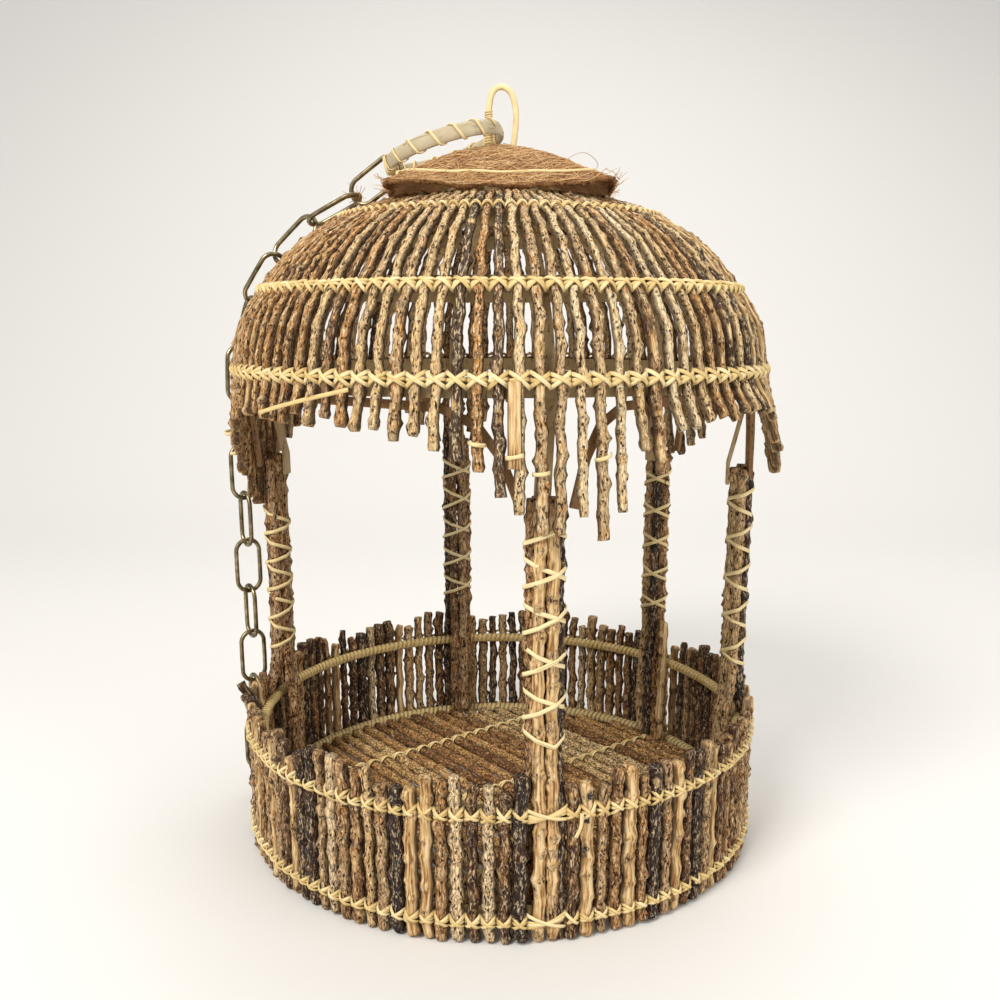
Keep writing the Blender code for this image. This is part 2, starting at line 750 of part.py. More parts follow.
def make_bearers(material):
    """Three split bearers, flat side down, under the floor and its hoop."""
    run = floor_direction()
    top = floor_level() - FLOOR_TWIG * HALF - TOUCH
    turn = Matrix.Rotation(math.radians(FLOOR_TURN_DEG), 4, "Z")
    reach = WALL_INNER_RADIUS - TOUCH * 2
    for name, place in (("front", UNIT), ("middle", 0.0), ("rear", -UNIT)):
        offset = place * BEARER_SPACING
        length = math.sqrt(reach ** 2 - (abs(offset) + BEARER_WIDTH * HALF) ** 2)
        bm = bmesh.new()
        made = bmesh.ops.create_cone(
            bm, cap_ends=True, segments=12, radius1=top, radius2=top, depth=length * 2)
        bmesh.ops.rotate(bm, verts=made["verts"], matrix=Matrix.Rotation(QUARTER, 3, "X"))
        bmesh.ops.scale(bm, verts=bm.verts, vec=(BEARER_WIDTH * HALF / top, UNIT, UNIT))
        cut = bmesh.ops.bisect_plane(
            bm, geom=bm.verts[:] + bm.edges[:] + bm.faces[:], dist=TOUCH * TOUCH,
            plane_co=(0.0, 0.0, 0.0), plane_no=(0.0, 0.0, -UNIT), clear_outer=True)
        rim = [item for item in cut["geom_cut"] if isinstance(item, bmesh.types.BMEdge)]
        bmesh.ops.contextual_create(bm, geom=rim)
        bmesh.ops.transform(
            bm, verts=bm.verts, matrix=Matrix.Translation(run * offset) @ turn)
        add_mesh(f"bearer_{name}", bm, material)


def crown_level(x, y):
    """The height of the crown's slope, carried on inwards, over a point."""
    return CROWN_HEIGHT + (CROWN_RADIUS - math.hypot(x, y)) * CROWN_SLOPE_SHARE


def cap_height(x, y):
    """The height of the cap's top surface over a point."""
    reach = CAP_WIDTH * HALF
    spread = abs(x / reach) ** CAP_CORNER_POWER + abs(y / reach) ** CAP_CORNER_POWER
    share = min(spread ** (UNIT / CAP_CORNER_POWER), UNIT)
    rest = crown_level(reach, 0.0)
    mound = (CAP_TOP - rest - CAP_THICK) * (UNIT - share ** CAP_ROUND_SHARE)
    droop = (math.hypot(x, y) - reach * share) * CROWN_SLOPE_SHARE
    return max(crown_level(x, y), rest - droop + mound) + CAP_THICK


def make_cap(material):
    """The coir cloth: a square laid over the crown with a slot for the loop."""
    bm = bmesh.new()
    made = bmesh.ops.create_grid(
        bm, x_segments=CAP_CELLS, y_segments=CAP_CELLS, size=CAP_WIDTH * HALF)
    middle = min(bm.faces, key=lambda face: face.calc_center_median().length)
    slot = list(middle.verts)
    bmesh.ops.delete(bm, geom=[middle], context="FACES_ONLY")
    cell = CAP_WIDTH / CAP_CELLS
    bmesh.ops.scale(bm, verts=slot, vec=(CAP_SLOT_LENGTH / cell, CAP_SLOT_WIDTH / cell, UNIT))
    for vert in made["verts"]:
        vert.co.z = cap_height(vert.co.x, vert.co.y)
    cap = add_mesh("coir_cap", bm, material)
    shell = cap.modifiers.new("cloth", "SOLIDIFY")
    shell.thickness = CAP_THICK
    shell.offset = -UNIT
    return cap


def make_cap_cord(material):
    """A cane cord run round the cap's hem."""
    reach = CAP_WIDTH * HALF + CAP_CORD_THICK * HALF + TOUCH
    points = []
    for side in range(4):
        turn = Matrix.Rotation(QUARTER * side, 3, "Z")
        for index in range(CAP_CORD_STEPS):
            point = turn @ Vector((reach, reach * (index * 2 / CAP_CORD_STEPS - UNIT), 0.0))
            point.z = crown_level(point.x, point.y) + CAP_THICK * HALF
            points.append(point)
    add_strand("cap_cord", points, CAP_CORD_THICK * HALF, material, cyclic=True)


def make_loop(material):
    """A cane loop that passes through the cap and under the long splint."""
    strand = LOOP_STRAND * HALF
    low = SPLINT_TOP_HEIGHT - SPLINT_THICK * HALF - LOOP_SAG - strand
    high = LOOP_TOP - strand
    straight = (high - low) * HALF - LOOP_HALF_WIDTH
    points = []
    for index in range(LOOP_POINTS):
        turn = math.tau * (index + HALF) / LOOP_POINTS
        lift = math.copysign(straight, math.cos(turn))
        points.append(Vector((
            LOOP_HALF_WIDTH * math.sin(turn), 0.0,
            (high + low) * HALF + lift + LOOP_HALF_WIDTH * math.cos(turn))))
    add_strand("hanging_loop", points, strand, material, cyclic=True, resolution=1)


def chain_plane():
    """The level direction in which the ring and the chain lie."""
    return outward(CHAIN_ANGLE)


def ring_tilt():
    """How far the ring leans, with its far side held over the cap."""
    span = RING_RADIUS * 2.0 - RING_THICK
    under = chain_plane() * span
    return math.asin(
        (RING_PIVOT_HEIGHT - RING_END_RISE - cap_height(under.x, under.y)) / span)


def ring_frame():
    """The ring's pose: its axes and its centre, from the pivot in the loop."""
    tilt = ring_tilt()
    away = chain_plane() * math.cos(tilt) - Vector((0.0, 0.0, math.sin(tilt)))
    cross = Vector((0.0, 0.0, UNIT)).cross(chain_plane())
    normal = away.cross(cross)
    pivot = Vector((0.0, 0.0, RING_PIVOT_HEIGHT))
    centre = pivot + away * (RING_RADIUS - RING_THICK * HALF)
    frame = Matrix((away, cross, normal)).transposed().to_4x4()
    return Matrix.Translation(centre) @ frame


def make_ring(bamboo, cane):
    """The bamboo ring and the cane spiral bound round it."""
    inner = RING_RADIUS - RING_THICK
    half = RING_WIDTH * HALF
    ring = turned("hanging_ring",
                  ((RING_RADIUS, half), (RING_RADIUS, -half), (inner, -half), (inner, half)),
                  32, bamboo)
    ring.matrix_world = ring_frame()
    return [make_binding("ring_binding_near", UNIT, cane),
            make_binding("ring_binding_far", -UNIT, cane)]


def make_binding(name, side, material):
    """A cane spiral bound round one half of the ring, from loop to chain."""
    strand = BINDING_STRAND * HALF
    room = TOUCH + strand + FACET_SLACK
    middle = RING_RADIUS - RING_THICK * HALF
    corners = ((UNIT, UNIT), (UNIT, -UNIT), (-UNIT, -UNIT), (-UNIT, UNIT))
    points = []
    for turn in binding_turns():
        corner = corners[len(points) % len(corners)]
        radius = middle + corner[0] * (RING_THICK * HALF + room)
        points.append(Vector((-radius * math.cos(turn), side * radius * math.sin(turn),
                              corner[1] * (RING_WIDTH * HALF + room))))
    add_strand(name, points, strand, material).matrix_world = ring_frame()
    return points


def binding_turns():
    """Where round the ring each quarter turn of a binding lies, in radians."""
    tight = TIGHT_PITCH_DEG / SQUARE_SIDES
    spaced = BINDING_TURNS * SQUARE_SIDES
    tight_count = TIGHT_TURNS * SQUARE_SIDES
    step = (BINDING_END_DEG - BINDING_START_DEG - tight * tight_count) / spaced
    place = BINDING_START_DEG
    for index in range(spaced + tight_count):
        yield math.radians(place)
        place += step if index < spaced else tight


def chain_path():
    """The chain's way down over the dome, as radius and height."""
    line = list(PROFILE.values())[::-1]
    standoff = LINK_WIDTH * HALF + CHAIN_CLEARANCE
    path = []
    for before, point, after in zip(line, line[1:], line[2:] + [line[-1] - Vector((0.0, UNIT))]):
        first = normal_of(point - before)
        second = normal_of(after - point)
        mean = (first + second).normalized()
        path.append(point + mean * standoff / mean.dot(first))
    return path + [Vector((path[-1].x, -LINK_LENGTH * LINK_COUNT))]


def normal_of(chord):
    """The outward direction square to a stretch that runs down the dome."""
    return Vector((-chord.y, chord.x)).normalized()


def walk(path, start, step):
    """The next point along a path that lies a straight step from the last."""
    for first, second in zip(path, path[1:]):
        for index in range(WALK_STEPS):
            point = first.lerp(second, index / WALK_STEPS)
            ahead = point.y < start.y and point.x >= start.x - TOUCH
            if ahead and (point - start).length >= step:
                return start + (point - start).normalized() * step
    return start + Vector((0.0, -step))


def chain_joints():
    """Where each link hangs, as radius and height, from the ring down."""
    middle = ring_frame() @ Vector((RING_RADIUS - RING_THICK * HALF, 0.0, 0.0))
    first = Vector((middle.dot(chain_plane()), middle.z))
    slope = math.radians(FIRST_LINK_SLOPE_DEG)
    wire_room = math.hypot(RING_THICK, RING_WIDTH) * HALF + LINK_WIRE * HALF + LINK_GAP
    reach = LINK_LENGTH - LINK_WIRE - wire_room
    joints = [first, first + Vector((math.cos(slope), -math.sin(slope))) * reach]
    step = LINK_LENGTH - LINK_WIRE * 2.0 - LINK_GAP
    while len(joints) <= LINK_COUNT:
        joints.append(walk(chain_path(), joints[-1], step))
    return joints


def link_points():
    """One link's wire as points in its own plane, its length along X."""
    radius = (LINK_WIDTH - LINK_WIRE) * HALF
    straight = (LINK_LENGTH - LINK_WIDTH) * HALF
    points = []
    for end in (UNIT, -UNIT):
        for index in range(5):
            turn = EIGHTH * index - QUARTER
            points.append(Vector((end * (straight + radius * math.cos(turn)),
                                  end * radius * math.sin(turn), 0.0)))
    return points


def make_chain(material):
    """The oval links, each hung on the one before with its plane turned."""
    joints = chain_joints()
    plane = chain_plane()
    across = sideways(CHAIN_ANGLE)
    for index, (start, end) in enumerate(zip(joints, joints[1:])):
        along = (plane * (end.x - start.x) + Vector((0.0, 0.0, end.y - start.y))).normalized()
        away = along.cross(across)
        rolls = LINK_ROLLS_DEG
        roll = rolls[index] if index < len(rolls) else LINK_ROLL_DEG * (-UNIT) ** (index + 1)
        wide = across * math.cos(math.radians(roll)) + away * math.sin(math.radians(roll))
        foot = plane * end.x + Vector((0.0, 0.0, end.y))
        centre = foot - along * (LINK_LENGTH - LINK_WIRE) * HALF
        frame = Matrix((along, wide, along.cross(wide))).transposed().to_4x4()
        link = add_strand(f"chain_link_{index + 1:02d}", link_points(), LINK_WIRE * HALF,
                          material, cyclic=True, resolution=1)
        link.matrix_world = Matrix.Translation(centre) @ frame
        hinge = plane * start.x + Vector((0.0, 0.0, start.y))
        if math.cos(math.radians(roll)) > FLAT_LINK_SHARE:
            hinge = foot - along * (LINK_LENGTH - LINK_WIRE)
        print("hinge", link.name, [round(value, 5) for value in hinge],
              "wire along", [round(value, 4) for value in wide])


def least_gap(points, thick, skip):
    """The least gap between a strand's stretches that aren't neighbours."""
    least = math.inf
    for index, first in enumerate(points):
        for other in range(index + skip, len(points) - 1):
            start = points[other]
            run = points[other + 1] - start
            share = min(max((first - start).dot(run) / run.length_squared, 0.0), UNIT)
            least = min(least, (start + run * share - first).length - thick)
    return least


def main():
    """Build the whole cage."""
    clear_scene()
    bark = finish("bark", BARK, 0.9)
    pale_bark = finish("pale_bark", PALE_BARK, 0.85)
    dark_bark = finish("dark_bark", DARK_BARK, 0.9)
    cane = finish("cane", CANE, 0.55)
    bamboo = finish("bamboo", BAMBOO, 0.6)
    coir = finish("coir", COIR, 0.95)
    brass = finish("antique_brass", BRASS, 0.35, 1.0)
    make_wall(bark)
    make_hoops(bamboo, cane)
    make_floor(bark)
    make_bearers(bamboo)
    make_dome(pale_bark)
    make_splints(bamboo)
    make_arches(cane)
    for post, angle in POST_ANGLES.items():
        make_post(post, angle, dark_bark)
        gap = least_gap(make_wrap(post, angle, cane), WRAP_STRAND, 3)
        print("wrap", post, "least gap to itself, mm", round(gap / MILLIMETRE, 2))
    make_cap(coir)
    make_cap_cord(cane)
    make_loop(cane)
    for points in make_ring(bamboo, cane):
        gap = least_gap(points, BINDING_STRAND, 3)
        print("ring binding least gap to itself, mm", round(gap / MILLIMETRE, 2))
    make_chain(brass)


main()
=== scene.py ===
"""Dresses the twig birdcage: gnarled twigs, cane lashings, coir cap, ring and chain."""

import logging
import math
import random
from dataclasses import dataclass, field
from enum import Enum
from typing import Iterator, Sequence

import bmesh
import bpy
import numpy as np
from mathutils import Matrix, Vector

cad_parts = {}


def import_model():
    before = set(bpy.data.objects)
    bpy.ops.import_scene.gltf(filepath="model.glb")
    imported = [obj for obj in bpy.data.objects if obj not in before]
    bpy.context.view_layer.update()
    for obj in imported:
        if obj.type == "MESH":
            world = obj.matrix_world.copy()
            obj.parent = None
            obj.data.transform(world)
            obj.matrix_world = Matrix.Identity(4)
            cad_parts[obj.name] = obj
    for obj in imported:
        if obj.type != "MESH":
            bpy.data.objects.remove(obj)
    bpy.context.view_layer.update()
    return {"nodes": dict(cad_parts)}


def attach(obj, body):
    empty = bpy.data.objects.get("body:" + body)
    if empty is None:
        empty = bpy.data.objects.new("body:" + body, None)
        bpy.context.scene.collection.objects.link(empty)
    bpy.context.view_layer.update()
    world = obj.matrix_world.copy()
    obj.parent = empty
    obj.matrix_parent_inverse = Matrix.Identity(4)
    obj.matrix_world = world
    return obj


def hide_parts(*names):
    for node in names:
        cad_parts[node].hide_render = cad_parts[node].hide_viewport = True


LOG = logging.getLogger("birdcage")
UP = Vector((0.0, 0.0, 1.0))
REST_LAYER, TONE_LAYER, PEEL_LAYER, KNOT_LAYER = "straight", "tone", "peeled", "knotted"

# Sizes that more than one sub-assembly keeps to
POST_ANGLES: dict[str, float] = {
    "front": 8.7, "right": 81.0, "rear_right": 130.0, "rear_left": 193.0, "left": 261.0}
FRINGE_AT_POST: dict[str, float] = {
    "front": 0.2246, "right": 0.2305, "rear_right": 0.2273, "rear_left": 0.2273, "left": 0.2068}
RIM_HEIGHT = 0.073
FOOT_HEIGHT = 0.0125


class Body(str, Enum):
    """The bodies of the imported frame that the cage's pieces ride on."""

    CAGE = "cage"
    RING = "ring"
    FIRST_LINK = "link_01"


class Slot(str, Enum):
    """The record's material slots."""

    BARK = "bark"
    PALE_BARK = "pale_bark"
    DARK_BARK = "dark_bark"
    CANE = "cane"
    BAMBOO = "bamboo"
    COIR = "coir"
    BRASS = "antique_brass"


def on_ring(radius: float, angle_deg: float, height: float) -> Vector:
    """A point at a radius and an angle from the front, at a height."""
    turn = math.radians(angle_deg)
    return Vector((radius * math.sin(turn), -radius * math.cos(turn), height))


def outward(angle_deg: float) -> Vector:
    """The level direction away from the cage's axis."""
    return on_ring(1.0, angle_deg, 0.0)


def sideways(angle_deg: float) -> Vector:
    """The level direction of growing angle."""
    return UP.cross(outward(angle_deg))


def bays() -> Iterator[tuple[str, float, float]]:
    """Walk round the bays.

    Returns:
        Each bay's name, start angle and end angle, post to post.
    """
    names = list(POST_ANGLES)
    for name, following in zip(names, names[1:] + names[:1]):
        start = POST_ANGLES[name]
        yield name, start, start + (POST_ANGLES[following] - start) % 360.0


def length_of(path: Sequence[Vector]) -> float:
    """The length of a line of points."""
    return sum((b - a).length for a, b in zip(path, path[1:]))


def smooth_line(points: Sequence[Vector], count: int) -> list[Vector]:
    """Even points on the smooth curve through a few points.

    Args:
        points: The points that the curve passes through.
        count: How many points to give back.

    Returns:
        Points spaced evenly by length, first and last kept.
    """
    line = [points[0] * 2 - points[1], *points, points[-1] * 2 - points[-2]]
    dense: list[Vector] = []
    for index in range(1, len(line) - 2):
        before, start, end, after = line[index - 1:index + 3]
        for step in range(8):
            t = step / 8
            dense.append(0.5 * ((2 * start) + (end - before) * t
                                + (2 * before - 5 * start + 4 * end - after) * t ** 2
                                + (3 * start - before - 3 * end + after) * t ** 3))
    dense.append(points[-1].copy())
    place = np.array([list(point) for point in dense])
    run = np.concatenate(([0.0], np.cumsum(np.linalg.norm(np.diff(place, axis=0), axis=1))))
    even = np.linspace(0.0, run[-1], count)
    return [Vector(row) for row in
            np.stack([np.interp(even, run, place[:, axis]) for axis in range(3)], axis=1)]


def mesh_of(name: str, shape: bmesh.types.BMesh, smooth: bool = True) -> bpy.types.Mesh:
    """Turn a finished bmesh into a mesh and free it.

    Args:
        name: The mesh's name.
        shape: The bmesh.
        smooth: Whether its faces are shaded smooth.

    Returns:
        The mesh.
    """
    data = bpy.data.meshes.new(name)
    shape.to_mesh(data)
    shape.free()
    data.polygons.foreach_set("use_smooth", [smooth] * len(data.polygons))
    return data


def place_in_scene(name: str, data: bpy.types.ID) -> bpy.types.Object:
    """A new object of the scene that holds a mesh, a lamp or a camera."""
    holder = bpy.data.objects.new(name, data)
    bpy.context.scene.collection.objects.link(holder)
    return holder


def dress(data: bpy.types.Mesh, material: bpy.types.Material,
          replaces: Sequence[str] = (), body: str = Body.CAGE.value) -> bpy.types.Object:
    """Make a mesh a piece of the cage and say what it is.

    Args:
        data: The mesh, in place, with the piece's name.
        material: The finish it wears.
        replaces: The nodes that it stands for.
        body: The body it rides on.

    Returns:
        The finished object.
    """
    piece = place_in_scene(data.name, data)
    data.materials.append(material)
    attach(piece, body)
    if replaces:
        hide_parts(*replaces)
    LOG.info("%s: %d faces", data.name, len(data.polygons))
    return piece


@dataclass
class Bundle:
    """Many strands gathered in one mesh, with where each point lay when straight.

    Attributes:
        name: The finished piece's name.
        mesh: The mesh that the strands are gathered in.
        strands: How many strands it holds so far.
        strand_gap: How far apart the strands lie in the materials' straight space.
    """

    name: str
    mesh: bmesh.types.BMesh = field(default_factory=bmesh.new)
    strands: int = 0
    strand_gap: float = 0.37

    def add(self, path: Sequence[Vector], sides: Vector | Sequence[Vector],
            half_width: float | Sequence[float], half_thick: float | Sequence[float],
            tone: float, corners: int = 8, knobs: float = 0.0,
            rng: random.Random | None = None, closed: bool = False, peel: float = 0.0,
            buds: Sequence[tuple[float, float]] = ()) -> None:
        """Sweep one strand along a path.

        Args:
            path: The points of its middle line, one for each ring.
            sides: The direction of its width, for all its rings or at each.
            half_width: Half its width, for all its rings or at each.
            half_thick: Half its thickness, for all its rings or at each.
            tone: Its own shade, from 0, dark, to 1, light.
            corners: How many corners its section has.
            knobs: How far its surface wanders, as a share of its radius.
            rng: The source of its wandering.
            closed: Whether its last ring joins its first.
            peel: How bare of bark it is, from 0 to 1.
            buds: How far a bud swells at each ring, as a share, and which way it looks.
        """
        rings = len(path)
        sides = [sides] * rings if isinstance(sides, Vector) else sides
        half_width = [half_width] * rings if isinstance(half_width, float) else half_width
        half_thick = [half_thick] * rings if isinstance(half_thick, float) else half_thick
        strand = bmesh.new()
        layers = strand.verts.layers
        rest = layers.float_vector.new(REST_LAYER)
        shade, bare, scar = (layers.float.new(name)
                             for name in (TONE_LAYER, PEEL_LAYER, KNOT_LAYER))
        bmesh.ops.create_cone(strand, cap_ends=not closed, segments=corners,
                              radius1=1.0, radius2=1.0, depth=1.0)
        upright = [edge for edge in strand.edges
                   if abs(edge.verts[0].co.z - edge.verts[1].co.z) > 0.5]
        if rings > 2:
            bmesh.ops.subdivide_edges(strand, edges=upright, cuts=rings - 2, use_grid_fill=True)
        frames = self._frames(path, sides, closed)
        length = length_of(path)
        for vert in strand.verts:
            ring = round((vert.co.z + 0.5) * (rings - 1))
            across, away = frames[ring]
            wander = 1.0 + (rng.uniform(-knobs, knobs) if rng and knobs else 0.0)
            if buds:
                swell, turn = buds[ring]
                facing = max(0.0, math.cos(math.atan2(vert.co.y, vert.co.x) - turn))
                wander += swell * facing ** 2
                vert[scar] = swell * facing ** 3
            x = vert.co.x * half_width[ring] * wander
            y = vert.co.y * half_thick[ring] * wander
            vert[rest] = Vector((x + self.strands * self.strand_gap, y,
                                 length * ring / (rings - 1)))
            vert[shade] = tone
            vert[bare] = peel
            vert.co = path[ring] + across * x + away * y
        if closed:
            bmesh.ops.remove_doubles(strand, verts=strand.verts, dist=1e-6)
        bmesh.ops.recalc_face_normals(strand, faces=strand.faces)
        made = mesh_of("strand", strand)
        self.mesh.from_mesh(made)
        bpy.data.meshes.remove(made)
        self.strands += 1

    @staticmethod
    def _frames(path: Sequence[Vector], sides: Sequence[Vector],
                closed: bool) -> list[tuple[Vector, Vector]]:
        """Find how a strand lies at each of its rings.

        Args:
            path: The points of its middle line.
            sides: The direction of its width at each ring, not yet square to the line.
            closed: Whether its last ring joins its first.

        Returns:
            The directions of width and thickness at each ring.
        """
        frames = []
        last = len(path) - 1
        for index, side in enumerate(sides):
            ahead = path[index + 1] if index < last else (path[1] if closed else path[last])
            behind = path[index - 1] if index else (path[last - 1] if closed else path[0])
            along = (ahead - behind).normalized()
            across = (side - along * side.dot(along)).normalized()
            frames.append((across, across.cross(along)))
        return frames

    def finish(self, material: bpy.types.Material, slot: Slot, replaces: Sequence[str] = (),
               body: str = Body.CAGE.value) -> bpy.types.Object:
        """Make the gathered strands one dressed piece of the cage.

        Args:
            material: The finish it wears.
            slot: The record's material slot; not used.
            replaces: The nodes that it stands for.
            body: The body it rides on.

        Returns:
            The finished object.
        """
        return dress(mesh_of(self.name, self.mesh), material, replaces, body)


Colour = tuple[float, float, float]
Socket = bpy.types.NodeSocket
NOISE_EDGES = (0.3, 0.7)


class Nodes:
    """A short way to place and join the nodes of one material."""

    def __init__(self, tree: bpy.types.NodeTree) -> None:
        """Start on an empty tree."""
        self.tree = tree
        tree.nodes.clear()

    def add(self, kind: str, **settings: object) -> bpy.types.Node:
        """Place a node.

        Args:
            kind: Its type.
            settings: Its properties.

        Returns:
            The node.
        """
        node = self.tree.nodes.new(kind)
        for key, value in settings.items():
            setattr(node, key, value)
        return node

    def fill(self, sockets: Sequence[Socket], values: Sequence[object]) -> None:
        """Join or set sockets.

        Args:
            sockets: The sockets.
            values: For each, the socket that feeds it or its own value.
        """
        for socket, value in zip(sockets, values):
            if isinstance(value, Socket):
                self.tree.links.new(value, socket)
            else:
                socket.default_value = value

    def set(self, node: bpy.types.Node, **values: object) -> bpy.types.Node:
        """Join or set a node's inputs by name, with an underscore for each space.

        Args:
            node: The node.
            values: For each input, the socket that feeds it or its own value.

        Returns:
            The node.
        """
        names = [key.replace("_", " ") for key in values]
        self.fill([node.inputs[name] for name in names], list(values.values()))
        return node

    def math(self, operation: str, *values: Socket | float) -> Socket:
        """A sum on sockets or numbers."""
        node = self.add("ShaderNodeMath", operation=operation)
        self.fill(node.inputs, values)
        return node.outputs[0]

    def vector_math(self, operation: str, *values: Socket | tuple) -> Socket:
        """A sum on vectors."""
        node = self.add("ShaderNodeVectorMath", operation=operation)
        self.fill(node.inputs, values)
        return node.outputs["Value" if operation == "DOT_PRODUCT" else "Vector"]

    def noise(self, vector: Socket, scale: float = 1.0, detail: float = 3.0,
              distortion: float = 0.0, stretch: Colour | None = None) -> Socket:
        """Noise on a vector.

        Args:
            vector: The vector.
            scale: The noise's scale.
            detail: How many finer layers it has.
            distortion: How far it is distorted.
            stretch: The vector's own scale along each axis.

        Returns:
            A value from 0 to 1.
        """
        if stretch:
            vector = self.set(self.add("ShaderNodeMapping"), Vector=vector,
                              Scale=stretch).outputs["Vector"]
        return self.set(self.add("ShaderNodeTexNoise"), Vector=vector, Scale=scale, Detail=detail,
                        Distortion=distortion).outputs["Fac"]

    def cells(self, vector: Socket, scale: Socket, share: float, stir: Socket,
              feature: str) -> Socket:
        """The distances of a cell pattern.

        Args:
            vector: The vector that it lies on.
            scale: The vector's scale.
            share: The pattern's own scale.
            stir: A value that stirs the vector.
            feature: Which distance is taken.

        Returns:
            The distance.
        """
        stirred = self.vector_math("ADD", self.vector_math("MULTIPLY", vector, scale), stir)
        return self.set(self.add("ShaderNodeTexVoronoi", feature=feature), Vector=stirred,
                        Scale=share).outputs["Distance"]

    def clamp(self, value: Socket) -> Socket:
        """A value kept between 0 and 1."""
        return self.set(self.add("ShaderNodeClamp"), Value=value).outputs[0]

    def ramp(self, fac: Socket, colours: Sequence[Colour],
             places: Sequence[float] | None = None) -> Socket:
        """A colour ramp over a value.

        Args:
            fac: The value.
            colours: The ramp's colours.
            places: Where each lies, or None for evenly spaced ones.

        Returns:
            The colour.
        """
        node = self.set(self.add("ShaderNodeValToRGB"), Fac=fac)
        last = len(colours) - 1
        stops = node.color_ramp.elements
        places = places or [number / last for number in range(last + 1)]
        stops[0].position, stops[-1].position = places[0], places[-1]
        stops[0].color, stops[-1].color = (*colours[0], 1.0), (*colours[-1], 1.0)
        for place, colour in list(zip(places, colours))[1:-1]:
            stops.new(place).color = (*colour, 1.0)
        return node.outputs["Color"]

    def mix(self, fac: Socket | float, first: Socket | Colour, second: Socket | Colour) -> Socket:
        """A mix of two colours."""
        node = self.add("ShaderNodeMix", data_type="RGBA")
        self.fill((node.inputs[0], *node.inputs[6:8]), (fac, first, second))
        return node.outputs[2]

    def value_mix(self, fac: Socket, first: Socket, second: Socket) -> Socket:
        """A mix of two values."""
        node = self.add("ShaderNodeMix", data_type="FLOAT")
        self.fill((node.inputs[0], *node.inputs[2:4]), (fac, first, second))
        return node.outputs[0]

    def attribute(self, name: str, output: str = "Fac") -> Socket:
        """A named layer of the mesh."""
        return self.add("ShaderNodeAttribute", attribute_name=name).outputs[output]

    def range(self, value: Socket, low: float, high: float, to_low: float = 0.0,
              to_high: float = 1.0) -> Socket:
        """A value carried from one range to another."""
        return self.set(self.add("ShaderNodeMapRange"), Value=value, From_Min=low, From_Max=high,
                        To_Min=to_low, To_Max=to_high).outputs["Result"]

    def surface(self, colour: Socket, rough: Socket, height: Socket, bump: float,
                constants: dict[str, float]) -> None:
        """Close the material with its shader.

        Args:
            colour: Its colour.
            rough: Its roughness.
            height: The relief of its surface.
            bump: How deep that is, in metres.
            constants: What is the same all over it.
        """
        relief = self.set(self.add("ShaderNodeBump"), Distance=bump, Strength=1.0, Height=height)
        shader = self.set(self.add("ShaderNodeBsdfPrincipled"), Base_Color=colour,
                          Roughness=rough, Normal=relief.outputs["Normal"])
        for name, number in constants.items():
            shader.inputs[name].default_value = number
        self.set(self.add("ShaderNodeOutputMaterial"), Surface=shader.outputs[0])


def new_material(name: str) -> tuple[bpy.types.Material, Nodes]:
    """A new material and its empty node tree."""
    material = bpy.data.materials.new(name)
    material.use_nodes = True
    return material, Nodes(material.node_tree)


def shared_group(name: str, vectors: Sequence[str], values: Sequence[str],
                 results: Sequence[str]) -> tuple:
    """Start an effect that materials share as one shader node group.

    Args:
        name: The group's name.
        vectors: The names of the vectors that it is given.
        values: The names of the values that it is given.
        results: The names of the values that it puts out.

    Returns:
        The group, its nodes, what it is given and its output node. If the group is
        already built, the last three are None.
    """
    if name in bpy.data.node_groups:
        return bpy.data.node_groups[name], None, None, None
    tree = bpy.data.node_groups.new(name, "ShaderNodeTree")
    for names, way, kind in ((vectors, "INPUT", "Vector"), (values, "INPUT", "Float"),
                             (results, "OUTPUT", "Float")):
        for socket in names:
            tree.interface.new_socket(socket, in_out=way, socket_type=f"NodeSocket{kind}")
    nodes = Nodes(tree)
    return tree, nodes, nodes.add("NodeGroupInput").outputs, nodes.add("NodeGroupOutput")


